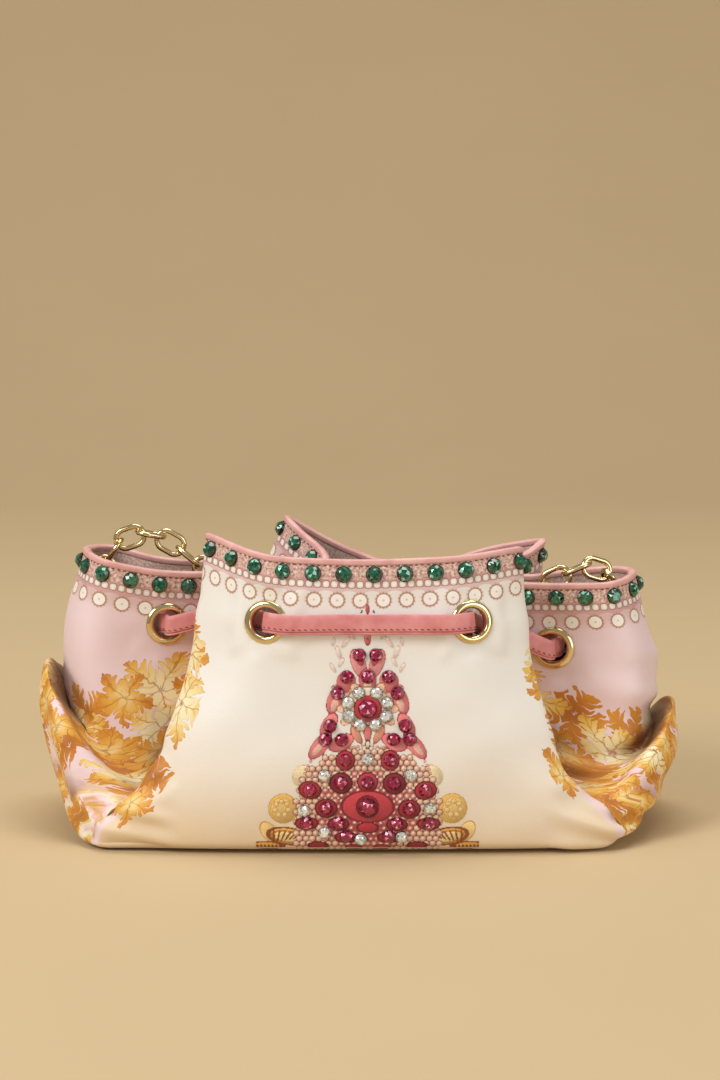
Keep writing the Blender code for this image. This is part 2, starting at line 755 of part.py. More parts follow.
def anchor_hold(around):
    """Where the chain's end meets an anchor's loop."""
    centre, _, rise, out = anchor_frame(around)
    inside = ANCHOR_REACH - ANCHOR_WIRE - LINK_WIRE / 2 - LINK_CLEARANCE
    return centre + out * inside + rise * 2 * LINK_CLEARANCE


# Way of the chain between its anchors, in shares of half the width, half the depth and the rim's
# height: up out of the left lobe, over its rim, down into the mouth and up again to the right lobe.
# sag is the share of the fitted slack that a station takes.
Station = namedtuple("Station", "name x y z sag")
CHAIN_STATIONS = (
    Station("left_rise", -0.7863, -0.0476, 0.9237, 0),
    Station("left_crest", -0.7099, -0.0794, 1.0085, 0),
    Station("left_fall", -0.6107, 0, 0.9915, 0),
    Station("left_neck", -0.4427, 0, 0.8729, 0.3),
    Station("middle", 0, 0.0317, 0.7627, 1),
    Station("right_neck", 0.4580, 0, 0.7797, 0.3),
    Station("right_fall", 0.6260, -0.0317, 0.8600, 0),
    Station("right_crest", 0.7176, -0.0635, 0.9020, 0),
    Station("right_rise", 0.7939, -0.0159, 0.8340, 0),
)
LEFT_END, RIGHT_END = 3 * PER_QUARTER, PER_QUARTER


def chain_joints(slack):
    """Places where each link meets the next, at the link's pitch along the chain's way."""
    half = np.array([BAG_WIDTH / 2, BAG_DEPTH / 2, RIM_HEIGHT])
    way = [anchor_hold(LEFT_END)]
    way += [half * (s.x, s.y, s.z - s.sag * slack) for s in CHAIN_STATIONS]
    way += [anchor_hold(RIGHT_END)]
    fine = smooth_path(way, 0.2 * MM, False)
    pitch = LINK_LENGTH - 2 * LINK_WIRE - LINK_CLEARANCE
    joints = [fine[0]]
    for point in fine:
        if np.linalg.norm(point - joints[-1]) >= pitch:
            joints.append(point)
    left_over = np.linalg.norm(fine[-1] - joints[-1])
    return np.array(joints), len(joints) - 1 + left_over / pitch


def fitted_chain():
    """The chain's joints, with its slack set so that a whole number of links reaches the far loop."""
    low, high = -0.2, 0.6
    for _ in range(30):
        slack = (low + high) / 2
        joints, reached = chain_joints(slack)
        low, high = (low, slack) if reached > LINK_COUNT else (slack, high)
    joints = [*joints[:LINK_COUNT], anchor_hold(RIGHT_END)]
    return np.array(joints)


def chain_link(name, start, end, width_way):
    """An oval link of round wire, between the places where it meets its neighbours."""
    tangent = unit(end - start)
    across = unit(width_way - tangent * (width_way @ tangent))
    normal = np.cross(tangent, across)
    centre = (start + end) / 2
    made = Faces()
    end_radius = (LINK_WIDTH - LINK_WIRE) / 2
    straight = (LINK_LENGTH - LINK_WIDTH) / 2
    rings = []
    for i in range(LINK_SIDES):
        angle = math.tau * (i + 0.5) / LINK_SIDES
        out = math.cos(angle) * tangent + math.sin(angle) * across
        push = straight if math.cos(angle) > 0 else -straight
        stretch = 1 / math.cos(math.pi / LINK_SIDES)
        place = centre + push * tangent + end_radius * out * (stretch if abs(math.cos(angle)) > 0.9 else 1)
        rings.append(made.add(ring_points(place, out, normal, LINK_WIRE / 2, WIRE_SIDES)))
    for one, other in zip(rings, rings[1:] + rings[:1]):
        made.bridge(one, other)
    made.solid(name, GOLD, smooth=True)


def chain():
    joints = fitted_chain()
    turn = np.array([0.0, 1.0, 0.0])
    for index, (start, end) in enumerate(zip(joints, joints[1:])):
        tangent = unit(end - start)
        turn = unit(turn - tangent * (turn @ tangent))
        chain_link(f"chain_link_{index + 1:02d}", start, end, turn)
        turn = np.cross(tangent, turn)


# Stones of the front motif, from its top to its foot: each row's height as a share of the rim's, the
# places of its stones as shares of half the motif's width, and whether they are the larger ones
MOTIF_WIDTH = 48 * MM
MOTIF_OFF_CENTRE = 3 * MM
MOTIF_STONE = 4.8 * MM
MOTIF_LARGE_STONE = 7.0 * MM
MotifRow = namedtuple("MotifRow", "name height places large")
MOTIF_ROWS = (
    MotifRow("crown", 0.674, (-0.13, 0.13), False),
    MotifRow("brow", 0.602, (-0.34, 0, 0.34), False),
    MotifRow("temples", 0.547, (-0.49, 0.49), False),
    MotifRow("rosette", 0.496, (0,), True),
    MotifRow("drops_upper", 0.439, (-0.61, 0.61), False),
    MotifRow("drops_lower", 0.394, (-0.69, -0.42, 0.42, 0.69), False),
    MotifRow("shoulders", 0.326, (-0.37, 0.37), False),
    MotifRow("arch", 0.250, (-0.44, 0, 0.44), False),
    MotifRow("wings", 0.227, (-0.95, 0.95), False),
    MotifRow("belly_sides", 0.165, (-0.68, 0.68), False),
    MotifRow("belly", 0.169, (0,), True),
    MotifRow("hem", 0.115, (-1.00, -0.48, 0.48, 1.00), False),
    MotifRow("foot", 0.070, (-0.35, 0.35), False),
)
MOTIF_BACKING = 0.4 * MM
MOTIF_RISE = 1.9 * MM


def front_patch():
    """Columns and rows of the shell that the motif lies over: all between the two front eyelets."""
    count = SHELL_POINTS.shape[1]
    names = [name for name, _, _ in EYELETS]
    left = SHELL_EYELETS.index(names.index("eyelet_face_front_left"))
    right = SHELL_EYELETS.index(names.index("eyelet_face_front_right"))
    columns = [c % count for c in range(left + 1, right + count + 1)]
    return columns[: (right - left) % count], range(1, EYELET_ROW + 1)


def front_motif():
    """The stones of the front, on a thin backing that follows the cloth."""
    columns, rows = front_patch()
    made = Faces()
    layers = []
    for lift in (GAP, GAP + MOTIF_BACKING):
        layers.append(
            [made.add([SHELL_POINTS[r, c] + lift * SHELL_NORMALS[r, c] for c in columns]) for r in rows]
        )
    for layer in layers:
        for low, high in zip(layer, layer[1:]):
            for i in range(len(columns) - 1):
                a, b, e, f = low[i], low[i + 1], high[i + 1], high[i]
                made.faces += [(a, b, e), (a, e, f)]
    for i in range(len(columns) - 1):
        for row in (0, -1):
            one, other = layers[0][row], layers[1][row]
            made.faces.append((one[i], one[i + 1], other[i + 1], other[i]))
    for j in range(len(rows) - 1):
        for side in (0, -1):
            made.faces.append(
                (layers[0][j][side], layers[0][j + 1][side], layers[1][j + 1][side], layers[1][j][side])
            )
    top = [[SHELL_POINTS[r, c] + (GAP + MOTIF_BACKING) * SHELL_NORMALS[r, c] for c in columns] for r in rows]
    gems = []
    for row in MOTIF_ROWS:
        for share in row.places:
            x = MOTIF_OFF_CENTRE + share * MOTIF_WIDTH / 2
            place, normal = on_facets(top, x, row.height * RIM_HEIGHT)
            size = MOTIF_LARGE_STONE if row.large else MOTIF_STONE
            gems.append(gem(place, normal, size, MOTIF_RISE, STONE_SINK * MOTIF_BACKING))
    return joined(made, gems, "front_motif", RUBY)


def on_facets(grid, x, z):
    """The point of a grid of facets that lies at x and z as seen from the front, and its normal."""
    for low, high in zip(grid, grid[1:]):
        for i in range(len(low) - 1):
            for a, b, c in ((low[i], low[i + 1], high[i + 1]), (low[i], high[i + 1], high[i])):
                flat = np.array([[b[0] - a[0], c[0] - a[0]], [b[2] - a[2], c[2] - a[2]]])
                u, v = np.linalg.solve(flat, (x - a[0], z - a[2]))
                if u >= -1e-9 and v >= -1e-9 and u + v <= 1 + 1e-9:
                    return a + u * (b - a) + v * (c - a), unit(np.cross(b - a, c - a))
    raise ValueError("a stone lies off its backing")


def main():
    for thing in list(bpy.data.objects):
        bpy.data.objects.remove(thing)
    pouch()
    rim_binding()
    rim_stones()
    front_motif()
    for name, _, frame in EYELETS:
        eyelet(name, frame)
    drawstring()
    anchor("anchor_left", LEFT_END)
    anchor("anchor_right", RIGHT_END)
    chain()


main()
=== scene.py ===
"""A satin drawstring reticule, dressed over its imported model: printed satin, leather binding and strap,
set brass eyelets, foiled glass stones and a brass chain."""

import math
from collections import namedtuple

import bpy
import numpy as np
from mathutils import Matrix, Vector
from mathutils.bvhtree import BVHTree


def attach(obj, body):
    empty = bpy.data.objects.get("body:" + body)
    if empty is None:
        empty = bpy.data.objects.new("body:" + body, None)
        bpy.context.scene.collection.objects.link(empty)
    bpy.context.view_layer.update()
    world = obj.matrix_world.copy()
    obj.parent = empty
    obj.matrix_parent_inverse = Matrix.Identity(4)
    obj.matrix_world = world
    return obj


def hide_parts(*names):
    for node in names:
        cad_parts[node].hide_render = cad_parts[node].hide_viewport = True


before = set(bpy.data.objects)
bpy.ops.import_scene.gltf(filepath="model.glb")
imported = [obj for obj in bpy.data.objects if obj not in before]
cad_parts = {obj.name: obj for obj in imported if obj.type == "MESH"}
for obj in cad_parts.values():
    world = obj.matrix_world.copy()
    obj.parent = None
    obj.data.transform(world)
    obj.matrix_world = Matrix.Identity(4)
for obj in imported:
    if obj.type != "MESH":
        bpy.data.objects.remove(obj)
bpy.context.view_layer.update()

MM = 0.001

# The shape of the cloth, as the solids have it
BAG_WIDTH, BAG_DEPTH, RIM_HEIGHT = 262 * MM, 126 * MM, 118 * MM
CLOTH = 2.0 * MM
FOLD_RADIUS, FOLD_WIDTH = 7.5 * MM, 11 * MM
EYELET_FLANGE = 17.4 * MM
STRAP_OFF = 3.4 * MM
LINK_LENGTH, LINK_WIDTH, LINK_WIRE = 14.0 * MM, 10.0 * MM, 2.2 * MM

Section = namedtuple("Section", "name face edge ridge valley side shoulder end pinch")
SECTIONS = (
    Section("base", (0, 0.42, 0), (0.23, 0.40, 0), (0.36, 0.34, 0), (0.40, 0.28, 0),
            (0.43, 0.20, 0), (0.46, 0.11, 0), (0.47, 0, 0), 0.5),
    Section("foot", (0, 0.99, 0), (0.48, 0.98, 0), (0.78, 0.91, 0), (0.82, 0.78, 0),
            (0.84, 0.58, 0.01), (0.86, 0.32, 0.03), (0.87, 0, 0.05), 0.6),
    Section("low", (0, 1.03, 0.05), (0.49, 1.01, 0.05), (0.80, 0.92, 0.03), (0.85, 0.79, 0.04),
            (0.89, 0.62, 0.07), (0.94, 0.36, 0.15), (0.97, 0, 0.23), 0.7),
    Section("roll", (0, 1.03, 0.16), (0.48, 1.01, 0.15), (0.75, 0.90, 0.10), (0.80, 0.77, 0.11),
            (0.90, 0.65, 0.18), (0.98, 0.40, 0.34), (1.02, 0, 0.48), 0.8),
    Section("lip", (0, 1.02, 0.27), (0.45, 1.00, 0.25), (0.68, 0.87, 0.18), (0.73, 0.74, 0.18),
            (0.85, 0.64, 0.31), (0.96, 0.42, 0.55), (1.01, 0, 0.70), 0.8),
    Section("crease", (0, 0.99, 0.39), (0.41, 0.97, 0.38), (0.62, 0.80, 0.29), (0.58, 0.58, 0.12),
            (0.68, 0.50, 0.15), (0.84, 0.38, 0.26), (0.91, 0, 0.38), 0.9),
    Section("wall", (0, 0.94, 0.58), (0.35, 0.92, 0.58), (0.55, 0.70, 0.54), (0.40, 0.26, 0.43),
            (0.64, 0.29, 0.47), (0.89, 0.42, 0.54), (0.99, 0, 0.59), 1.0),
    Section("draw", (0, 0.88, 0.77), (0.31, 0.87, 0.77), (0.51, 0.64, 0.79), (0.34, 0.15, 0.72),
            (0.61, 0.24, 0.71), (0.84, 0.38, 0.75), (0.94, 0, 0.77), 1.0),
    Section("rim", (0, 0.83, 0.98), (0.30, 0.80, 0.99), (0.49, 0.59, 1.01), (0.34, 0.15, 0.88),
            (0.60, 0.24, 0.87), (0.80, 0.35, 0.91), (0.89, 0, 0.93), 1.0),
)
Quarter = namedtuple(
    "Quarter",
    "name across along shift set_back face_lift ridge_lift lobe_lift draw_lift roll foot",
)
QUARTERS = (
    Quarter("front_right", 1, -1, 0.01, 0.00, 0.00, 0.00, -0.05, -0.08, 0.74, 0.91),
    Quarter("back_right", 1, 1, 0.12, 0.00, -0.20, -0.07, -0.05, -0.08, 0.74, 0.91),
    Quarter("back_left", -1, 1, 0.24, 0.00, -0.20, 0.02, 0.03, 0.00, 1.00, 1.02),
    Quarter("front_left", -1, -1, 0.01, -0.12, 0.00, 0.04, 0.03, 0.00, 1.00, 1.02),
)
# The share of a quarter's own moves that each upper section takes, and the sections that its roll lifts
UPPER_SHARE = {"rim": 1.0, "draw": 0.75, "wall": 0.35}
LOWER_FOLDS = ("low", "roll", "lip", "crease")


def unit(vector):
    vector = np.asarray(vector, float)
    return vector / np.maximum(np.linalg.norm(vector, axis=-1, keepdims=True), 1e-12)


def smooth(value, low, high):
    """0 up to low and 1 from high on, with a soft start and end."""
    share = np.clip((np.asarray(value, float) - low) / (high - low), 0, 1)
    return share * share * (3 - 2 * share)


def quarter_points(section, quarter):
    half = np.array([BAG_WIDTH / 2, BAG_DEPTH / 2, RIM_HEIGHT])
    face, edge, ridge, valley, side, shoulder, end = (np.array(p, float) for p in section[1:8])
    upper = UPPER_SHARE.get(section.name, 0.0)
    for place in (face, edge, ridge, valley):
        place[0] += upper * quarter.shift * quarter.across
    face[2] += upper * quarter.face_lift
    edge[2] += upper * quarter.face_lift / 2
    ridge[1] += upper * quarter.set_back
    ridge[2] += upper * quarter.ridge_lift
    for place, share in ((valley, 0.5), (side, 0.5), (shoulder, 1.0), (end, 1.0)):
        place[2] += share * upper * quarter.lobe_lift
    if section.name == "draw":
        for place in (valley, side, shoulder, end):
            place[2] += quarter.draw_lift
    if section.name in ("base", "foot"):
        for place in (ridge, valley, side, shoulder, end):
            place[0] *= quarter.foot
    if section.name in LOWER_FOLDS:
        for place, share in ((side, 0.5), (shoulder, 1.0), (end, 1.0)):
            place[2] *= 1 + share * (quarter.roll - 1)
    face, edge, ridge, valley, side, shoulder, end = (
        half * place for place in (face, edge, ridge, valley, side, shoulder, end)
    )
    reach = section.pinch * FOLD_RADIUS

    def fold(before, corner, after):
        one, other = corner + unit(before - corner) * reach, corner + unit(after - corner) * reach
        apart = np.linalg.norm(one - other)
        spread = unit(one - other) * max(section.pinch * FOLD_WIDTH - apart, 0) / 2
        return [one + spread, corner, other - spread]

    points = [face, (face + edge) / 2, edge]
    points += fold(edge, ridge, valley)
    points += [(ridge + valley) / 2]
    points += fold(ridge, valley, side)
    points += [side, (side + shoulder) / 2, shoulder, end]
    return [np.array([quarter.across, quarter.along, 1]) * p for p in points]


def control_net():
    rows = []
    for section in SECTIONS:
        row = []
        for quarter in QUARTERS:
            points = quarter_points(section, quarter)
            points = points[::-1] if quarter.across * quarter.along > 0 else points
            if row:
                row[-1] = (row[-1] + points[0]) / 2
                points = points[1:]
            row += points
        row[0] = (row[0] + row.pop()) / 2
        rows.append(row)
    return np.array(rows)


NET = control_net()
AROUND, UP = NET.shape[1], NET.shape[0] - 1
# Places round the first quarter of the fold's ridge and valley, and the level up of the drawstring
RIDGE_AT, VALLEY_AT, DRAW_AT = 4, 8, 7


def spline_weights(samples, count, closed):
    rows = np.zeros((len(samples), count))
    for row, place in zip(rows, samples):
        start = math.floor(place) if closed else min(math.floor(place), count - 2)
        t = place - start
        basis = ((1 - t) ** 3, 3 * t**3 - 6 * t**2 + 4, -3 * t**3 + 3 * t**2 + 3 * t + 1, t**3)
        for index, weight in enumerate(basis, start - 1):
            if closed:
                row[index % count] += weight / 6
            elif index < 0:
                row[0] += 2 * weight / 6
                row[1] -= weight / 6
            elif index > count - 1:
                row[count - 1] += 2 * weight / 6
                row[count - 2] -= weight / 6
            else:
                row[index] += weight / 6
    return rows


def drape(around, up):
    weights_up, weights_around = spline_weights(up, UP + 1, False), spline_weights(around, AROUND, True)
    return np.einsum("ui,aj,ijk->uak", weights_up, weights_around, NET)


def drape_frame(around, up):
    step = 0.01
    low, high = max(up - step, 0), min(up + step, UP)
    place = drape([around], [up])[0, 0]
    along = unit(np.diff(drape([around - step, around + step], [up])[0], axis=0)[0])
    rise = unit(np.diff(drape([around], [low, high])[:, 0], axis=0)[0])
    normal = unit(np.cross(along, rise))
    return place, along, unit(np.cross(normal, along)), normal


def mirrored(at):
    half = AROUND / 2
    return [at, half - at, half + at, AROUND - at]


EYELET_PLACES = (
    ("face", (2.1, 2.3, 2.3, 1.85)),
    ("fold", (6.1, 6.1, 6.1, 6.1)),
    ("lobe", (10.0, 10.0, 10.0, 10.0)),
)
EYELETS = sorted(
    (
        (f"eyelet_{name}_{quarter.name}", mirrored(places[index])[index])
        for name, places in EYELET_PLACES
        for index, quarter in enumerate(QUARTERS)
    ),
    key=lambda item: item[1],
)
EYELETS = [(name, at, drape_frame(at, DRAW_AT)) for name, at in EYELETS]
# The flat place at an eyelet: its reach and fade sideways, and its span in places round the bag
FLAT_REACH, FLAT_FADE, FLAT_SPAN = EYELET_FLANGE / 2 + 1.2 * MM, 6 * MM, (1.2, 1.9)


def places_apart(around, at):
    """How many places round the bag each one is from another, the shorter way."""
    return abs((np.asarray(around) - at + AROUND / 2) % AROUND - AROUND / 2)


def eyelet_nearness(points, around):
    """For each eyelet: its frame and how much each point of the cloth belongs to its flat place."""
    for _, at, (centre, along, rise, normal) in EYELETS:
        offset = points - centre
        sideways = np.maximum(abs(offset @ along), abs(offset @ rise))
        near = 1 - smooth(sideways, FLAT_REACH, FLAT_REACH + FLAT_FADE)
        yield centre, normal, near * (1 - smooth(places_apart(around, at), *FLAT_SPAN))


# The fine grid of the cloth: columns at an even pitch of about 1.7 mm round the bag, from the middle of
# the back, and rows up it
COLUMNS, ROWS = 440, 104


def even_columns():
    fine = np.linspace(AROUND / 2, AROUND * 1.5, 3201)
    lines = drape(fine % AROUND, [2, 4, 6, 7, 8])
    steps = np.linalg.norm(np.diff(lines, axis=1), axis=2).mean(axis=0)
    lengths = np.concatenate([[0], np.cumsum(steps)])
    return np.interp(np.arange(COLUMNS) * lengths[-1] / COLUMNS, lengths, fine)


PLACES = even_columns()
HEIGHTS = np.linspace(0, UP, ROWS + 1)


def grid_normals(points):
    along = np.roll(points, -1, axis=1) - np.roll(points, 1, axis=1)
    rise = np.gradient(points, axis=0)
    return unit(np.cross(along, rise))


def lengths_up(points):
    steps = np.linalg.norm(np.diff(points, axis=0), axis=2)
    return np.concatenate([np.zeros((1, points.shape[1])), np.cumsum(steps, axis=0)])


def lengths_round(points):
    """Length round each row at each column, with the whole length of the row in one more column."""
    steps = np.linalg.norm(np.roll(points, -1, axis=1) - points, axis=2)
    return np.concatenate([np.zeros((len(points), 1)), np.cumsum(steps, axis=1)], axis=1)


# Heights of the soft folds in mm: gathers under the binding, swells and hanging folds on the faces, slack
# low and high on the lobes, the tuck at the left of the front, and the pulls beside the eyelets
GATHER, SWELL, HANG, SLACK, UPPER_SLACK, TUCK, PULL = 0.22, 0.55, 0.5, 0.95, 0.55, 1.7, 0.85


def soft_creases(points):
    """Heights, in metres, of the gathers and creases that the drawstring and its own weight put in the
    cloth. Each is a sum of slow waves across (x), up (z in mm, v in sections) or round the bag, and fades
    out where the cloth is held."""
    x, y, z = (points[..., i] / MM for i in range(3))
    run = lengths_round(points)[:, :-1] / MM
    v = HEIGHTS[:, None] + 0 * x
    front, lobe = smooth(-y, 30, 45), smooth(abs(x), 70, 84)
    gathers = np.sin(run / 4.6 + 1.1 * np.sin(run / 17)) + 0.6 * np.sin(run / 7.9 + 2)
    height = GATHER * gathers * smooth(v, 5.4, 7.2) * (1 - 0.55 * front)
    swell = np.sin(x / 15 + z / 31 + 0.6) * np.sin(z / 17 - x / 44 + 1.3) + 0.5 * np.sin(x / 9.3 - z / 21)
    height += SWELL * swell * smooth(z, 6, 24) * (1 - lobe)
    hang = np.sin(x / 10.5 - z / 13 + 0.9 * np.sin(z / 15)) * (1 - smooth(z, 40, 72))
    height += HANG * hang * smooth(z, 4, 16) * (1 - lobe)
    slack = np.sin(run / 6.3 + v * 2.6 + 1.3 * np.sin(run / 15)) + 0.7 * np.sin(run / 10.7 - v * 3.4)
    height += SLACK * slack * lobe * smooth(v, 0.9, 1.8) * (1 - smooth(v, 5.0, 6.3))
    upper = np.sin(run / 8.4 + v * 1.9) * smooth(v, 4.6, 5.6) * (1 - smooth(v, 6.9, 7.6))
    height += UPPER_SLACK * upper * lobe
    tuck = smooth(-x, 30.4, 32.4) * (1 - smooth(-x, 34, 52)) * smooth(z, 74, 104)
    height += TUCK * tuck * front
    for _, at, (centre, along, rise, _) in EYELETS:
        offset = points - centre
        a, r = offset @ along / MM, offset @ rise / MM
        far, turn = np.hypot(a, r), np.arctan2(a, -r)
        pull = np.exp(-np.maximum(far - 9, 0) / 17) * np.cos(4.3 * turn + 0.5) * smooth(far, 9, 13)
        below = 1 - smooth(abs(turn), 1.5, 2.3)
        height += PULL * pull * below * (1 - smooth(places_apart(PLACES, at), 2.0, 3.0))
    for _, _, share in eyelet_nearness(points, PLACES):
        height = height * (1 - share)
    return height * MM * smooth(v, 0.9, 1.4)


# Up to this height over the floor the cloth lies on it
ON_FLOOR = 0.5 * MM


def cloth_grid():
    points = drape(PLACES % AROUND, HEIGHTS)
    for centre, normal, share in eyelet_nearness(points, PLACES):
        points = points - (share * ((points - centre) @ normal))[..., None] * normal
    points = points + soft_creases(points)[..., None] * grid_normals(points)
    points[..., 2] = np.maximum(points[..., 2], 0)
    points[0, :, 2] = 0
    normals = grid_normals(points)
    # On the floor the cloth faces down, also where the grid runs back over itself at the folds
    normals[points[..., 2] < ON_FLOOR] = (0, 0, -1)
    return points, normals


POINTS, NORMALS = cloth_grid()
RUN_UP = lengths_up(POINTS)
DROP = RUN_UP[-1] - RUN_UP
RIM_RUN = lengths_round(POINTS)[-1]
RIM_ROUND = RIM_RUN[-1]


def column_of(around):
    """Column, counted in fractions, at a place round the bag."""
    place = (around - AROUND / 2) % AROUND + AROUND / 2
    return float(np.interp(place, [*PLACES, PLACES[0] + AROUND], range(COLUMNS + 1)))


def blend_columns(values, column):
    one = int(column) % COLUMNS
    share = column - math.floor(column)
    return values[:, one] * (1 - share) + values[:, (one + 1) % COLUMNS] * share


def cloth_frame(column, drop=None, height=None):
    """Point, direction round, direction up and normal of the cloth at a column, at a depth under the
    rim in metres or at a place up it."""
    line, out = blend_columns(POINTS, column), blend_columns(NORMALS, column)
    if height is None:
        row = float(np.interp(-drop, -blend_columns(DROP, column), range(ROWS + 1)))
    else:
        row = height * ROWS / UP
    low = min(int(row), ROWS - 1)
    share = row - low
    place = line[low] * (1 - share) + line[low + 1] * share
    normal = unit(out[low] * (1 - share) + out[low + 1] * share)
    rise = unit(line[low + 1] - line[low])
    along = unit(np.cross(rise, normal))
    return place, along, unit(np.cross(normal, along)), normal


def front_frame(x, z):
    """The cloth's frame at a point that is seen from the front, x and z in mm."""
    first, last = int(column_of(47)), int(column_of(5))
    rows = range(ROWS // UP, ROWS + 1)
    grid = POINTS[rows.start :, first:last] / MM
    row = 0.0
    for _ in range(8):
        low = min(int(row), len(grid) - 2)
        line = grid[low] * (1 - row + low) + grid[low + 1] * (row - low)
        column = float(np.interp(x, line[:, 0], range(last - first)))
        left = min(int(column), last - first - 2)
        rising = grid[:, left] * (1 - column + left) + grid[:, left + 1] * (column - left)
        row = float(np.interp(z, rising[:, 2], range(len(grid))))
    return cloth_frame(first + column, height=(rows.start + row) * UP / ROWS)


def band_line(drop, lift):
    """Points of a line round the bag at a depth under the rim and a height off the cloth, in metres."""
    line = []
    for c in range(COLUMNS):
        depth = DROP[:, c][::-1]
        place = np.array([np.interp(drop, depth, POINTS[::-1, c, i]) for i in range(3)])
        if drop < 0:
            place = POINTS[-1, c] - drop * unit(POINTS[-1, c] - POINTS[-3, c])
        normal = unit([np.interp(max(drop, 0), depth, NORMALS[::-1, c, i]) for i in range(3)])
        line.append(place + lift * normal)
    return np.array(line)


# Making of the pieces

SCENE = bpy.context.scene


def piece(name, points, faces, materials, body="root", soft=True, slots=None):
    """A piece of points, faces and materials, riding on the bag. slots has each face's material."""
    mesh = bpy.data.meshes.new(name)
    mesh.from_pydata([tuple(map(float, p)) for p in points], [], [tuple(map(int, f)) for f in faces])
    made = bpy.data.objects.new(name, mesh)
    SCENE.collection.objects.link(made)
    for material in materials:
        mesh.materials.append(material)
    mesh.polygons.foreach_set("use_smooth", [soft] * len(mesh.polygons))
    if slots is not None:
        mesh.polygons.foreach_set("material_index", np.asarray(slots, np.int32))
    mesh.update()
    if body:
        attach(made, body)
    return made


def corner_values(mesh, name, per_vertex):
    """A pair of numbers at each vertex, kept with the mesh under a name for its material to read."""
    layer = mesh.uv_layers.new(name=name)
    index = np.zeros(len(mesh.loops), np.int32)
    mesh.loops.foreach_get("vertex_index", index)
    layer.data.foreach_set("uv", per_vertex[index].ravel().astype(np.float32))


def loop_faces(rings, closed=True):
    """Quads between rings of point numbers, each as long as the others."""
    faces = []
    for one, other in zip(rings, rings[1:] + rings[:1] if closed else rings[1:]):
        for i in range(len(one)):
            j = (i + 1) % len(one)
            faces.append((one[i], one[j], other[j], other[i]))
    return faces


def lathe(centre, across, other, normal, profile, sides):
    """Points of a profile of (radius, height) turned round a normal, a ring for each of its points."""
    turn = np.arange(sides) * math.tau / sides
    rings = [
        centre + r * (np.cos(turn)[:, None] * across + np.sin(turn)[:, None] * other) + h * normal
        for r, h in profile
    ]
    return np.concatenate(rings)


class Pile:
    """Points, faces and a number for each face, of many small things made as one piece."""

    def __init__(self):
        self.points, self.faces, self.values = [], [], []

    def put(self, points, faces, values=None):
        first = len(self.points)
        self.points += [tuple(p) for p in points]
        self.faces += [tuple(first + i for i in face) for face in faces]
        self.values += list(values) if values is not None else [0.0] * len(faces)

    def rings(self, points, sides, closed=True):
        count = len(points) // sides
        numbers = [list(range(i * sides, (i + 1) * sides)) for i in range(count)]
        self.put(points, loop_faces(numbers, closed))

    def make(self, name, materials, soft=True):
        made = piece(name, self.points, self.faces, materials, soft=soft)
        layer = made.data.attributes.new("glint", "FLOAT", "FACE")
        layer.data.foreach_set("value", np.asarray(self.values, np.float32))
        return made


# Colours and materials


def colour(code):
    """Linear colour from an sRGB hex value."""
    parts = [int(code[i : i + 2], 16) / 255 for i in (1, 3, 5)]
    return (*(p / 12.92 if p <= 0.04045 else ((p + 0.055) / 1.055) ** 2.4 for p in parts), 1)


def add(tree, kind, *inputs, out=0, stops=None, **settings):
    """A node with its settings; each input is a socket to link, a value to set, or None to leave."""
    made = tree.nodes.new("ShaderNode" + kind)
    for name, value in settings.items():
        setattr(made, name, value)
    for position, (place, code) in enumerate(stops or ()):
        ramp = made.color_ramp.elements
        stop = ramp[position] if position < 2 else ramp.new(place)
        stop.position, stop.color = place, colour(code)
    for socket, value in zip(made.inputs, inputs):
        if isinstance(value, bpy.types.NodeSocket):
            tree.links.new(value, socket)
        elif value is not None:
            socket.default_value = value
    return made.outputs[out]


def finish(name, **values):
    """A material with its plain values set on its shader, its node tree and that shader."""
    made = bpy.data.materials.new(name)
    made.use_nodes = True
    shader = made.node_tree.nodes["Principled BSDF"]
    for key, value in values.items():
        shader.inputs[key.replace("_", " ")].default_value = value
    return made, made.node_tree, shader


# Pitches, in mm, of the border's printed beads and rings, made to fit a whole number round the rim
BEAD_PITCH = RIM_ROUND / MM / round(RIM_ROUND / (3.3 * MM))
RING_PITCH = RIM_ROUND / MM / round(RIM_ROUND / (8.9 * MM))
# Depths under the rim of the middles of the beads and rings, and of the facing's lower edge, in mm
BEAD_DROP, RING_DROP, FACING_DEPTH = 9.3, 15.5, 34.0
# Length of a lobe's print from its front fold to its back one, and how far off the left lobe's print is
# laid from the right one's, in mm
LOBE_LENGTH, LEFT_LOBE_SHIFT = 220.0, 500.0


def across_cell(tree, run, pitch):
    """How far each place of the run is from the middle of its own cell, in mm."""
    cell = add(tree, "Math", add(tree, "Math", run, pitch, operation="DIVIDE"), operation="FRACT")
    cell = add(tree, "Math", cell, 0.5, operation="SUBTRACT")
    return add(tree, "Math", cell, pitch, operation="MULTIPLY")


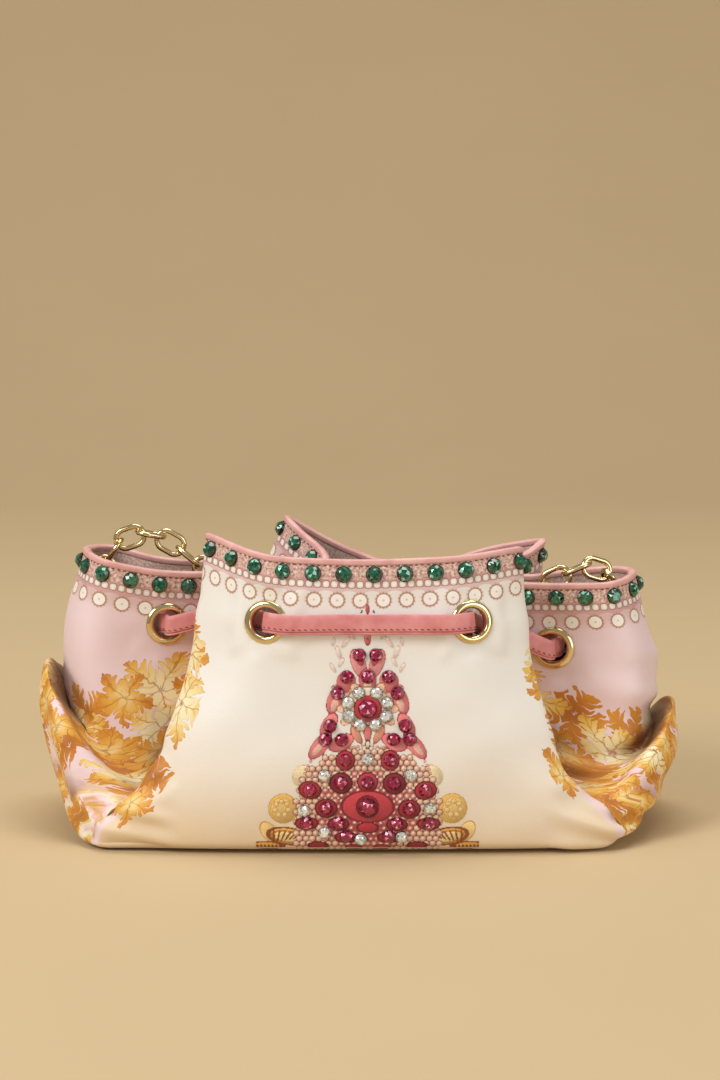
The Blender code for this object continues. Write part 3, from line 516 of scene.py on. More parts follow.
def border_print(tree, under):
    """The printed border: a mottled band, a row of beads and a row of scalloped rings, in mm."""
    place = add(tree, "UVMap", uv_map="border")
    parts = add(tree, "SeparateXYZ", place)
    run, drop = parts, parts.node.outputs[1]
    mottle = add(tree, "TexNoise", place, None, 0.9, 4.0, 0.6, noise_dimensions="2D")
    band = add(tree, "ValToRGB", mottle,
               stops=((0.30, "#9c6b62"), (0.44, "#cca198"), (0.58, "#e2c4b6"), (0.70, "#f1e5d8")))
    dusty = add(tree, "MapRange", drop, 7.0, 7.6, interpolation_type="SMOOTHSTEP")
    band = add(tree, "MixRGB", dusty, band, colour("#cc9c9a"))
    # Below the beads the band ends in shallow points, over a dusty haze round the rings
    side = add(tree, "Attribute", attribute_name="inward", out=2)
    side = add(tree, "MapRange", side, -2.0, 6.0, 0.30, 1.0)
    points = add(tree, "Math", add(tree, "Math", run, math.pi * 2 / RING_PITCH, operation="MULTIPLY"),
                 operation="COSINE")
    points = add(tree, "Math", points, 0.45, drop, operation="MULTIPLY_ADD")
    ends = add(tree, "MapRange", points, 12.0, 12.35, 1.0, 0.0)
    haze = add(tree, "MapRange", drop, 13.5, 19.5, 0.45, 0.0, interpolation_type="SMOOTHSTEP")
    haze = add(tree, "Math", haze, side, operation="MULTIPLY")
    shown = add(tree, "MixRGB", haze, under, colour("#c9a39a"))
    ends = add(tree, "Math", ends, add(tree, "MapRange", side, 0.3, 1.0, 0.55, 1.0), operation="MULTIPLY")
    shown = add(tree, "MixRGB", ends, shown, colour("#d2a4a6"))
    over = add(tree, "MapRange", drop, 10.6, 10.9, 1.0, 0.0)
    shown = add(tree, "MixRGB", over, shown, band)
    # Beads: rounded squares, by the cube root of the sum of two cubes
    across = across_cell(tree, run, BEAD_PITCH)
    down = add(tree, "Math", drop, BEAD_DROP, operation="SUBTRACT")
    across = add(tree, "Math", add(tree, "Math", across, operation="ABSOLUTE"), 3.0, operation="POWER")
    down = add(tree, "Math", add(tree, "Math", down, operation="ABSOLUTE"), 3.0, operation="POWER")
    bead = add(tree, "Math", add(tree, "Math", across, down, operation="ADD"), 1 / 3, operation="POWER")
    rim = add(tree, "MapRange", bead, 1.45, 1.62, 1.0, 0.0)
    shown = add(tree, "MixRGB", rim, shown, colour("#a2756b"))
    inside = add(tree, "MapRange", bead, 1.12, 1.34, 1.0, 0.0, interpolation_type="SMOOTHSTEP")
    pearl = add(tree, "MapRange", bead, 0.2, 1.2, 0.0, 1.0)
    pearl = add(tree, "ValToRGB", pearl, stops=((0.0, "#f8f5f0"), (1.0, "#e6d9ce")))
    shown = add(tree, "MixRGB", inside, shown, pearl)
    # Rings: a disc in a thin scalloped outline with a dot at its middle
    across = across_cell(tree, run, RING_PITCH)
    down = add(tree, "Math", drop, RING_DROP, operation="SUBTRACT")
    turn = add(tree, "Math", down, across, operation="ARCTAN2")
    scallop = add(tree, "Math", add(tree, "Math", turn, 14.0, operation="MULTIPLY"), operation="COSINE")
    far = add(tree, "VectorMath", add(tree, "CombineXYZ", across, down), operation="LENGTH", out=1)
    wave = add(tree, "Math", scallop, 0.16, far, operation="MULTIPLY_ADD")
    halo = add(tree, "MapRange", wave, 3.1, 3.6, 0.75, 0.0, interpolation_type="SMOOTHSTEP")
    shown = add(tree, "MixRGB", halo, shown, colour("#c8a08c"))
    line = add(tree, "MapRange", wave, 2.85, 3.05, 0.7, 0.0, interpolation_type="SMOOTHSTEP")
    shown = add(tree, "MixRGB", line, shown, colour("#9a6a4a"))
    disc = add(tree, "MapRange", far, 2.30, 2.55, 1.0, 0.0, interpolation_type="SMOOTHSTEP")
    dot = add(tree, "MapRange", far, 0.15, 0.6, 0.0, 1.0, interpolation_type="SMOOTHSTEP")
    cream = add(tree, "MixRGB", dot, colour("#c8beb6"), colour("#f4eee6"))
    shown = add(tree, "MixRGB", disc, shown, cream)
    beads_up = add(tree, "MapRange", bead, 0.5, 1.45, 1.0, 0.0, interpolation_type="SMOOTHSTEP")
    return shown, beads_up


# A spray's fronds, and the width of a frond's belly as a share of its length
FRONDS, BELLY = 5, 0.36


def spray_layer(tree, place, shift, spacing, reach, fold_reach, kept):
    """One scatter of leaf sprays, in mm: how much leaf there is, how far out on it, its outline and
    midrib, the shade between its lobes, and its own lot. A spray's fronds are cut along their sides into
    slanting lobes."""
    moved = add(tree, "VectorMath", place, shift, operation="ADD")
    wander = add(tree, "TexNoise", moved, None, 0.16, 2.0, 0.5, noise_dimensions="2D", out=1)
    wander = add(tree, "VectorMath", wander, (0.5, 0.5, 0.5), operation="SUBTRACT")
    wander = add(tree, "VectorMath", wander, None, None, 5.5, operation="SCALE")
    bent = add(tree, "VectorMath", moved, wander, operation="ADD")
    cells = add(tree, "TexVoronoi", bent, None, 1 / spacing, voronoi_dimensions="2D").node
    cells.inputs["Randomness"].default_value = 0.8
    centre = cells.outputs["Position"]
    apart = add(tree, "SeparateXYZ", add(tree, "VectorMath", bent, centre, operation="SUBTRACT"))
    angle = add(tree, "Math", apart.node.outputs[1], apart, operation="ARCTAN2")
    far = add(tree, "VectorMath", add(tree, "CombineXYZ", apart, apart.node.outputs[1]),
              operation="LENGTH", out=1)
    lot = add(tree, "SeparateXYZ", cells.outputs["Color"])
    # Along and across the nearest frond, of those turned evenly round the spray's middle
    angle = add(tree, "Math", lot, math.tau, angle, operation="MULTIPLY_ADD")
    sector = add(tree, "Math", angle, FRONDS / math.tau, 20.0, operation="MULTIPLY_ADD")
    sector = add(tree, "Math", add(tree, "Math", sector, operation="FRACT"), 0.5, operation="SUBTRACT")
    sector = add(tree, "Math", sector, math.tau / FRONDS, operation="MULTIPLY")
    along = add(tree, "Math", far, add(tree, "Math", sector, operation="COSINE"), operation="MULTIPLY")
    across = add(tree, "Math", far, add(tree, "Math", sector, operation="SINE"), operation="MULTIPLY")
    across = add(tree, "Math", across, operation="ABSOLUTE")
    share = add(tree, "Math", along, reach, operation="DIVIDE")
    belly = add(tree, "Math", add(tree, "Math", share, 2.0, -1.0, operation="MULTIPLY_ADD"), 2.0,
                operation="POWER")
    belly = add(tree, "Math", belly, -BELLY * reach, BELLY * reach, operation="MULTIPLY_ADD")
    slant = add(tree, "Math", across, -0.85, along, operation="MULTIPLY_ADD")
    lobing = add(tree, "Math", add(tree, "Math", slant, math.pi / LEAF_LOBE, operation="MULTIPLY"),
                 operation="SINE")
    lobing = add(tree, "Math", add(tree, "Math", lobing, operation="ABSOLUTE"), 0.6, operation="POWER")
    cut = add(tree, "Math", lobing, 0.86, 0.14, operation="MULTIPLY_ADD")
    edge = add(tree, "Math", add(tree, "Math", belly, cut, operation="MULTIPLY"), across,
               operation="SUBTRACT")
    # A spray shows whole where its middle lies in the leafy part of the cloth
    middle = add(tree, "SeparateXYZ", add(tree, "VectorMath", centre, shift, operation="SUBTRACT"))
    drop = middle.node.outputs[1]
    left = add(tree, "Math", middle, (LOBE_LENGTH + LEFT_LOBE_SHIFT) / 2, operation="GREATER_THAN")
    inward = add(tree, "Math", left, -LEFT_LOBE_SHIFT, middle, operation="MULTIPLY_ADD")
    inward = add(tree, "Math", inward, LOBE_LENGTH / 2, operation="SUBTRACT")
    inward = add(tree, "Math", LOBE_LENGTH / 2, add(tree, "Math", inward, operation="ABSOLUTE"),
                 operation="SUBTRACT")
    top = add(tree, "MapRange", inward, 34.0, 88.0, 36.0, 62.0)
    near_fold = add(tree, "MapRange", inward, 0.0, 8.0, 14.0, 0.0)
    top = add(tree, "Math", top, near_fold, operation="ADD")
    leafy = add(tree, "Math", drop, top, operation="GREATER_THAN")
    on_lobe = add(tree, "Math", inward, fold_reach, operation="GREATER_THAN")
    leafy = add(tree, "Math", leafy, on_lobe, operation="MULTIPLY")
    sparse = add(tree, "MapRange", drop, 108.0, 122.0, 1 - kept, 1 - 0.45 * kept)
    chosen = add(tree, "Math", lot.node.outputs[2], sparse, operation="GREATER_THAN")
    leafy = add(tree, "Math", leafy, chosen, operation="MULTIPLY")
    leaf = add(tree, "MapRange", edge, 0.0, 0.22, 0.0, 1.0)
    leaf = add(tree, "Math", leaf, leafy, operation="MULTIPLY")
    outline = add(tree, "MapRange", edge, 0.15, 0.6, 1.0, 0.0, interpolation_type="SMOOTHSTEP")
    midrib = add(tree, "MapRange", across, 0.12, 0.45, 1.0, 0.0, interpolation_type="SMOOTHSTEP")
    gap = add(tree, "MapRange", lobing, 0.25, 0.75, 1.0, 0.0, interpolation_type="SMOOTHSTEP")
    return leaf, share, outline, midrib, gap, lot.node.outputs[1]


# Width in mm of the rounded lobes that a frond is cut into
LEAF_LOBE = 3.7
# Leaf sprays, from the deepest layer to the top one: spacing and reach in mm, how far past the fold's
# edge their middles may lie, the share of places that have one, a shift that keeps the layers apart,
# the strength of their lines, and their colours from the middle to the tips
SPRAYS = (
    (21.0, 17.0, -3.0, 0.85, (37, 11, 0), 0.3,
     ((0.0, "#a35c1c"), (0.4, "#c47a24"), (0.8, "#d9942f"), (1.0, "#cc8428"))),
    (25.0, 18.0, -5.0, 0.80, (11, 61, 0), 0.65,
     ((0.0, "#f5f0d2"), (0.38, "#f1e4ac"), (0.72, "#e6bb54"), (1.0, "#d08a2c"))),
    (23.0, 12.5, -6.0, 0.6, (3, 29, 0), 0.6,
     ((0.0, "#f3e6ae"), (0.4, "#e4b14a"), (0.75, "#d68c2c"), (1.0, "#bd7020"))),
)


def leaf_print(tree, under):
    """Leaf sprays over the cloth's own colour: brown ones behind, gold ones, and pale-hearted ones."""
    place = add(tree, "UVMap", uv_map="leaves")
    shown = under
    for spacing, reach, fold_reach, kept, shift, lines, stops in SPRAYS:
        leaf, share, outline, midrib, gap, lot = spray_layer(
            tree, place, shift, spacing, reach, fold_reach, kept
        )
        tint = add(tree, "ValToRGB", share, stops=stops)
        warm = add(tree, "MapRange", lot, 0.0, 1.0, 0.0, 0.3)
        tint = add(tree, "MixRGB", warm, tint, colour("#e0a648"))
        marks = ((gap, 0.8, "#d89a3c"), (midrib, 1.1, "#b5762c"), (outline, 1.2, "#a8601c"))
        for mark, strength, ink in marks:
            part = add(tree, "Math", mark, strength * lines, operation="MULTIPLY")
            tint = add(tree, "MixRGB", part, tint, colour(ink))
        shown = add(tree, "MixRGB", leaf, shown, tint)
    return shown


def printed_satin():
    """Printed duchess satin: closely woven silk floats, so it is even and matt with a broad soft sheen,
    cream on the front and back, pale rose at the sides, with a warm leafy print."""
    made, tree, shader = finish(
        "printed_duchess_satin", Roughness=0.46, Sheen_Weight=0.22, Sheen_Roughness=0.35,
        Specular_IOR_Level=0.38,
    )
    side = add(tree, "Attribute", attribute_name="inward", out=2)
    parts = add(tree, "SeparateXYZ", add(tree, "UVMap", uv_map="border"))
    drop = parts.node.outputs[1]
    # Ivory on the faces, warmer low down, and rose inside the folds' edges
    low = add(tree, "MapRange", drop, 62.0, 128.0, interpolation_type="SMOOTHSTEP")
    ivory = add(tree, "MixRGB", low, colour("#eeece8"), colour("#dfc49c"))
    cloud = add(tree, "TexNoise", add(tree, "TexCoord", out=3), None, 22.0, 2.0)
    cloud = add(tree, "MapRange", cloud, 0.35, 0.70, 0.0, 0.35)
    ivory = add(tree, "MixRGB", cloud, ivory, colour("#ebe0d2"))
    rose = add(tree, "MixRGB", cloud, colour("#ead3d6"), colour("#e2bfc4"))
    turn = add(tree, "MapRange", side, -1.0, 3.0, interpolation_type="SMOOTHSTEP")
    ground = add(tree, "MixRGB", turn, ivory, rose)
    # Streaks of gold, brown and cream low on the sides, where the cloth rolls over itself
    place = add(tree, "UVMap", uv_map="leaves")
    stretch = add(tree, "VectorMath", place, (0.032, 0.075, 1.0), operation="MULTIPLY")
    streak = add(tree, "TexNoise", stretch, None, 1.0, 4.0, 0.55, noise_dimensions="2D")
    streak = add(tree, "ValToRGB", streak,
                 stops=((0.32, "#8c5a2a"), (0.40, "#c98f38"), (0.48, "#e2c272"), (0.54, "#efe4d0"),
                        (0.60, "#e8c6c8"), (0.70, "#d09a42")))
    rolled = add(tree, "MapRange", drop, 104.0, 124.0, interpolation_type="SMOOTHSTEP")
    inside = add(tree, "MapRange", side, 2.0, 8.0, interpolation_type="SMOOTHSTEP")
    rolled = add(tree, "Math", rolled, inside, operation="MULTIPLY")
    ground = add(tree, "MixRGB", rolled, ground, streak)
    leafy = leaf_print(tree, ground)
    # Painted shade: the print darkens to brown by how shut in each point of the lobes lies, deep in their
    # creases
    crease = add(tree, "Attribute", attribute_name="crease", out=2)
    crease = add(tree, "Math", crease, inside, operation="MULTIPLY")
    leafy = add(tree, "MixRGB", crease, leafy, colour("#6e3a18"))
    shown, beads_up = border_print(tree, leafy)
    below = add(tree, "MapRange", drop, 19.6, 19.7)
    shown = add(tree, "MixRGB", below, shown, leafy)
    tree.links.new(shown, shader.inputs["Base Color"])
    # Weave of fine ribs, drawn at 0.6 mm as the real 0.1 mm floats are too fine to show, and puckers
    coords = add(tree, "TexCoord", out=3)
    weave = add(tree, "VectorMath", coords, (900.0, 900.0, 2600.0), operation="MULTIPLY")
    weave = add(tree, "TexNoise", weave, None, 1.0, 2.0)
    pucker = add(tree, "TexNoise", coords, None, 95.0, 2.0)
    relief = add(tree, "Math", pucker, 1.6, weave, operation="MULTIPLY_ADD")
    relief = add(tree, "Math", beads_up, 0.8, relief, operation="MULTIPLY_ADD")
    tree.links.new(add(tree, "Bump", 0.22, 0.00025, None, relief), shader.inputs["Normal"])
    worn = add(tree, "MapRange", pucker, 0.3, 0.7, 0.40, 0.54)
    tree.links.new(worn, shader.inputs["Roughness"])
    return made


def facing_satin():
    """The satin turned in behind the rim, seen from the back of the print: pale, with the border faint.
    Below it is the lining, dark cotton twill with fine slanting ribs and lint."""
    made, tree, shader = finish("facing_satin", Roughness=0.55, Sheen_Weight=0.15)
    shown, _ = border_print(tree, colour("#e3cfbf"))
    coords = add(tree, "TexCoord", out=3)
    haze = add(tree, "TexNoise", coords, None, 60.0, 3.0)
    haze = add(tree, "MapRange", haze, 0.3, 0.7, 0.30, 0.50)
    shown = add(tree, "MixRGB", haze, shown, colour("#d9c3b4"))
    rib = add(tree, "VectorMath", coords, (1000.0, 1000.0, 1000.0), operation="MULTIPLY")
    rib = add(tree, "TexWave", rib, 0.35, 0.6, wave_type="BANDS", bands_direction="DIAGONAL")
    lint = add(tree, "TexNoise", coords, None, 240.0, 3.0)
    lint = add(tree, "ValToRGB", lint, stops=((0.3, "#2b1713"), (0.7, "#452a22")))
    drop = add(tree, "SeparateXYZ", add(tree, "UVMap", uv_map="border"), out=1)
    seam = add(tree, "MapRange", drop, FACING_DEPTH, FACING_DEPTH + 0.3)
    tree.links.new(add(tree, "MixRGB", seam, shown, lint), shader.inputs["Base Color"])
    # Ribs about 1 mm apart, coarser than the real 0.5 mm ones so that they show
    tree.links.new(add(tree, "Bump", 0.3, 0.0002, None, rib), shader.inputs["Normal"])
    return made


def dyed_leather(name, deep, light, shine):
    """Dyed nappa leather: close grain of 0.5 mm, softly shiny, paler where it has been handled."""
    made, tree, shader = finish(name, Roughness=shine, Specular_IOR_Level=0.45, Coat_Weight=0.08,
                                Coat_Roughness=0.3)
    coords = add(tree, "TexCoord", out=3)
    grain = add(tree, "TexVoronoi", coords, None, 1500.0, feature="F1")
    soft = add(tree, "TexNoise", coords, None, 130.0, 3.0)
    shade = add(tree, "ValToRGB", soft, stops=((0.32, deep), (0.68, light)))
    tree.links.new(shade, shader.inputs["Base Color"])
    rub = add(tree, "MapRange", soft, 0.3, 0.7, shine - 0.07, shine + 0.08)
    tree.links.new(rub, shader.inputs["Roughness"])
    relief = add(tree, "Math", soft, 2.0, grain, operation="MULTIPLY_ADD")
    tree.links.new(add(tree, "Bump", 0.16, 0.0003, None, relief), shader.inputs["Normal"])
    return made


def waxed_thread():
    """Waxed polyester thread, darker than the leather that it sews, with its twist just showing."""
    made, tree, shader = finish("waxed_thread", Roughness=0.6)
    twist = add(tree, "TexNoise", add(tree, "TexCoord", out=3), None, 2200.0, 2.0)
    twist = add(tree, "ValToRGB", twist, stops=((0.35, "#5f2b2c"), (0.65, "#8d4a48")))
    tree.links.new(twist, shader.inputs["Base Color"])
    return made


def polished_brass():
    """Polished pale brass under lacquer: bright, with faint hairlines and a little uneven polish."""
    made, tree, shader = finish("polished_brass", Metallic=1.0, Roughness=0.12, Coat_Weight=0.3,
                                Coat_Roughness=0.05)
    coords = add(tree, "TexCoord", out=3)
    patch = add(tree, "TexNoise", coords, None, 90.0, 3.0)
    tone = add(tree, "ValToRGB", patch, stops=((0.30, "#d8bf86"), (0.70, "#eddcae")))
    tree.links.new(tone, shader.inputs["Base Color"])
    polish = add(tree, "MapRange", patch, 0.3, 0.7, 0.08, 0.18)
    tree.links.new(polish, shader.inputs["Roughness"])
    hair = add(tree, "VectorMath", coords, (900.0, 900.0, 120.0), operation="MULTIPLY")
    hair = add(tree, "TexNoise", hair, None, 1.0, 2.0)
    tree.links.new(add(tree, "Bump", 0.05, 0.00008, None, hair), shader.inputs["Normal"])
    return made


def foiled_glass(name, stops):
    """Foil-backed cut glass with painted reflections: each facet's glint paints it dark or bright, dark
    beside bright.
    """
    made, tree, shader = finish(name, Roughness=0.05, Metallic=0.35, Specular_IOR_Level=0.8,
                                Coat_Weight=1.0, Coat_Roughness=0.02)
    glint = add(tree, "Attribute", attribute_name="glint", out=2)
    swirl = add(tree, "TexNoise", add(tree, "TexCoord", out=3), None, 900.0, 1.0)
    glint = add(tree, "Math", swirl, 0.35, glint, operation="MULTIPLY_ADD")
    shade = add(tree, "ValToRGB", glint, stops=stops)
    tree.links.new(shade, shader.inputs["Base Color"])
    return made


def blackened_setting():
    """Pressed setting of blackened tin, its edges rubbed bright."""
    made, tree, shader = finish("blackened_setting", Metallic=0.8, Roughness=0.35)
    rub = add(tree, "TexNoise", add(tree, "TexCoord", out=3), None, 700.0, 2.0)
    rub = add(tree, "ValToRGB", rub, stops=((0.42, "#2a1f1c"), (0.66, "#6b5c52")))
    tree.links.new(rub, shader.inputs["Base Color"])
    return made


def transfer_ink():
    """Transfer print on the satin: flat inks with a slight gloss, each shape in its own colour."""
    made, tree, shader = finish("transfer_ink", Roughness=0.42, Sheen_Weight=0.1)
    ink = add(tree, "Attribute", attribute_name="ink")
    grain = add(tree, "TexNoise", add(tree, "TexCoord", out=3), None, 1300.0, 2.0)
    grain = add(tree, "MapRange", grain, 0.3, 0.7, 0.86, 1.08)
    shade = add(tree, "VectorMath", ink, None, None, grain, operation="SCALE")
    tree.links.new(shade, shader.inputs["Base Color"])
    return made


SATIN = printed_satin()
FACING = facing_satin()
STRAP_LEATHER = dyed_leather("rose_strap_leather", "#cf7b7c", "#e09694", 0.42)
BINDING_LEATHER = dyed_leather("rose_binding_leather", "#d69d99", "#e6b6b0", 0.48)
THREAD = waxed_thread()
BRASS = polished_brass()
EMERALD = foiled_glass("emerald_foiled_glass", (
    (0.1, "#00120d"), (0.45, "#034a33"), (0.72, "#0a7d58"), (0.86, "#1fa67b"), (1.0, "#b8f4e2"),
))
RUBY = foiled_glass("ruby_foiled_glass", (
    (0.1, "#3a0118"), (0.45, "#8e0638"), (0.72, "#b80f50"), (0.86, "#d63c80"), (1.0, "#f9b4d2"),
))
CRYSTAL = foiled_glass("crystal_foiled_glass", (
    (0.1, "#7c807c"), (0.35, "#c2c5be"), (0.6, "#eef0ea"), (1.0, "#ffffff"),
))
SETTING = blackened_setting()
INK = transfer_ink()


# The cloth


def lobe_place(run, length):
    """Places along a lobe's print, from 0 at its front fold to LOBE_LENGTH at its back one, and on past
    both at the cloth's own measure."""
    past = np.where(run > length, LOBE_LENGTH + run - length, run * LOBE_LENGTH / length)
    return np.where(run < 0, run, past)


def cloth_values():
    """For each vertex of the grid: (run along the rim, drop), (place on its lobe, drop) and how far
    inside the nearest fold's edge it lies, all in mm."""
    drop = DROP / MM
    run = np.repeat(RIM_RUN[None, :-1] / MM, ROWS + 1, axis=0)
    along = lengths_round(POINTS)[:, :-1] / MM
    front_right, back_right, back_left, front_left = (
        np.array([np.interp(column_of(at), range(COLUMNS), row) for row in along])[:, None]
        for at in mirrored(RIDGE_AT)
    )
    own = np.where(
        along < (front_left + front_right) / 2,
        lobe_place(front_left - along, front_left - back_left),
        lobe_place(along - front_right, back_right - front_right),
    )
    place = np.where(along < (front_left + front_right) / 2, own + LEFT_LOBE_SHIFT, own)
    inward = LOBE_LENGTH / 2 - abs(own - LOBE_LENGTH / 2)
    return np.stack([run, drop], -1), np.stack([place, drop], -1), inward


def spread(values, by):
    """The grid of values with each one drawn together with its neighbours' by a function."""
    sides = [np.roll(values, s, axis=1) for s in (-1, 1)]
    ends = [np.concatenate([values[:1], values[:-1]]), np.concatenate([values[1:], values[-1:]])]
    return by([values, *sides, *ends], axis=0)


def cloth_surface():
    """The outside of the cloth, to cast rays at."""
    number = np.arange((ROWS + 1) * COLUMNS).reshape(ROWS + 1, COLUMNS).tolist()
    faces = loop_faces(number, closed=False)
    return BVHTree.FromPolygons([tuple(p) for p in POINTS.reshape(-1, 3)], faces)


# The cloth's least thickness, its most low on the lobes, where its layers lie on each other, and the
# shares of the room behind a point and of its bending radius that it may take up
LEAST_CLOTH, LOBE_CLOTH = 0.12 * MM, 0.45 * MM
ROOM_SHARE, RADIUS_SHARE = 0.4, 0.6


def thicknesses(surface):
    """Thickness of the cloth at each point, thinner where a tight fold leaves no room for all of it."""
    thick = np.full((ROWS + 1, COLUMNS), CLOTH)
    for r in range(1, ROWS + 1):
        for c in range(COLUMNS):
            inwards = -Vector(NORMALS[r, c])
            _, _, _, far = surface.ray_cast(Vector(POINTS[r, c]) + 0.05 * MM * inwards, inwards, 3 * CLOTH)
            if far is not None:
                thick[r, c] = min(CLOTH, ROOM_SHARE * far)
    thick = np.minimum(thick, RADIUS_SHARE / np.maximum(bending(), 1.0))
    low_lobe = (HEIGHTS[:, None] < 2.8) & (abs(POINTS[..., 0]) > 78 * MM)
    thick = np.where(low_lobe, np.minimum(thick, LOBE_CLOTH), thick)
    for _ in range(2):
        thick = spread(thick, np.min)
    for _ in range(4):
        thick = np.minimum(thick, spread(thick, np.mean))
    return np.maximum(thick, LEAST_CLOTH)


def bending():
    """The most that the cloth bends at each point, in 1/m, with outward folds above zero."""
    most = np.full((ROWS + 1, COLUMNS), -1e6)
    for axis in (0, 1):
        if axis == 0:
            run, turn = np.gradient(POINTS, axis=0), np.gradient(NORMALS, axis=0)
        else:
            run = np.roll(POINTS, -1, axis=1) - np.roll(POINTS, 1, axis=1)
            turn = np.roll(NORMALS, -1, axis=1) - np.roll(NORMALS, 1, axis=1)
        most = np.maximum(most, (turn * run).sum(-1) / np.maximum((run * run).sum(-1), 1e-9))
    return most


def pressed_through(surface, inner):
    """Where, deep in the lobes' tightest folds, the inside lies at or past the outside, so that it has
    to be satin too."""
    through = np.zeros((ROWS + 1, COLUMNS), bool)
    for r, c in zip(*np.nonzero((HEIGHTS[:, None] < 4.2) & (abs(POINTS[..., 0]) > 72 * MM))):
        place, normal, _, _ = surface.find_nearest(Vector(inner[r, c]))
        through[r, c] = (Vector(inner[r, c]) - place).dot(normal) > -0.08 * MM
    for _ in range(2):
        through = spread(through, np.max)
    return through


# Rays that feel for a crease: how many, how far they go and how far every other one leans from the normal
CREASE_RAYS, CREASE_REACH, CREASE_LEANS = 8, 24 * MM, (0.6, 1.3)


# Painted shade: the crease values below darken the satin's print to brown where the cloth shuts off the
# light
def creases(surface):
    """How deep in a crease each point of the lobes lies, from 0 to 1: the share of the ways out that the
    cloth itself shuts off close by."""
    shut = np.zeros((ROWS + 1, COLUMNS))
    for r in range(6, 78):
        for c in np.nonzero(abs(POINTS[r, :, 0]) >= 70 * MM)[0]:
            out = NORMALS[r, c]
            along = unit(np.cross(out, (0, 0, 1)))
            other = np.cross(out, along)
            start = Vector(POINTS[r, c] + 0.3 * MM * out)
            for k in range(CREASE_RAYS):
                turn = math.tau * k / CREASE_RAYS
                way = unit(out + CREASE_LEANS[k % 2] * (math.cos(turn) * along + math.sin(turn) * other))
                if surface.ray_cast(start, Vector(way), CREASE_REACH)[3] is not None:
                    shut[r, c] += 1 / CREASE_RAYS
    for _ in range(2):
        shut = spread(shut, np.mean)
    return 0.85 * smooth(shut, 0.12, 0.70)


HOLE_RADIUS = 7.0 * MM


def cut_eyelets(outer, inner):
    """Which cells of the grid the eyelets' holes take. The points round a hole move to its circle."""
    holes = np.zeros((ROWS, COLUMNS), bool)
    for _, at, (centre, along, rise, normal) in EYELETS:
        across = outer + np.roll(outer, -1, 1)
        offset = (across[:-1] + across[1:]) / 4 - centre
        hole = (np.hypot(offset @ along, offset @ rise) < HOLE_RADIUS) & (abs(offset @ normal) < 3 * MM)
        hole &= places_apart(PLACES, at)[None, :] < 2
        holes |= hole
        touched, kept = np.zeros(outer.shape[:2], bool), np.zeros(outer.shape[:2], bool)
        for dr in (0, 1):
            for dc in (0, 1):
                touched[dr : dr + ROWS] |= np.roll(hole, dc, 1)
                kept[dr : dr + ROWS] |= np.roll(~hole, dc, 1)
        for r, c in zip(*np.nonzero(touched & kept)):
            away = outer[r, c] - centre
            a, u = away @ along, away @ rise
            outer[r, c] = centre + (a * along + u * rise) * HOLE_RADIUS / math.hypot(a, u)
            inner[r, c] = outer[r, c] - CLOTH * normal
    return holes


def wall_faces(number, second, holes, pressed):
    """Faces and material slots of the cloth's outside and inside, the holes' edges and the rim's top."""
    faces, slots = [], []
    for r in range(ROWS):
        for c in range(COLUMNS):
            d = (c + 1) % COLUMNS
            if not holes[r, c]:
                faces.append((number[r, c], number[r, d], number[r + 1, d], number[r + 1, c]))
                faces.append((second[r, c], second[r + 1, c], second[r + 1, d], second[r, d]))
                slots += [0, 0 if pressed[r, c] else 1]
                continue
            for (r1, c1), (r2, c2), (nr, nc) in (
                ((r, c), (r, d), (r - 1, c)), ((r, d), (r + 1, d), (r, d)),
                ((r + 1, d), (r + 1, c), (r + 1, c)), ((r + 1, c), (r, c), (r, (c - 1) % COLUMNS)),
            ):
                if not holes[nr, nc]:
                    faces.append((number[r1, c1], number[r2, c2], second[r2, c2], second[r1, c1]))
                    slots.append(0)
    for c in range(COLUMNS):
        d = (c + 1) % COLUMNS
        faces.append((number[-1, c], number[-1, d], second[-1, d], second[-1, c]))
        slots.append(0)
    return faces, slots


# Rings of the base as shares of its edge, and what its middle has: the drop and how far inward, in mm
BASE_RINGS = (0.8, 0.6, 0.4, 0.2)
BASE_DROP, BASE_INWARD = 220.0, -60.0


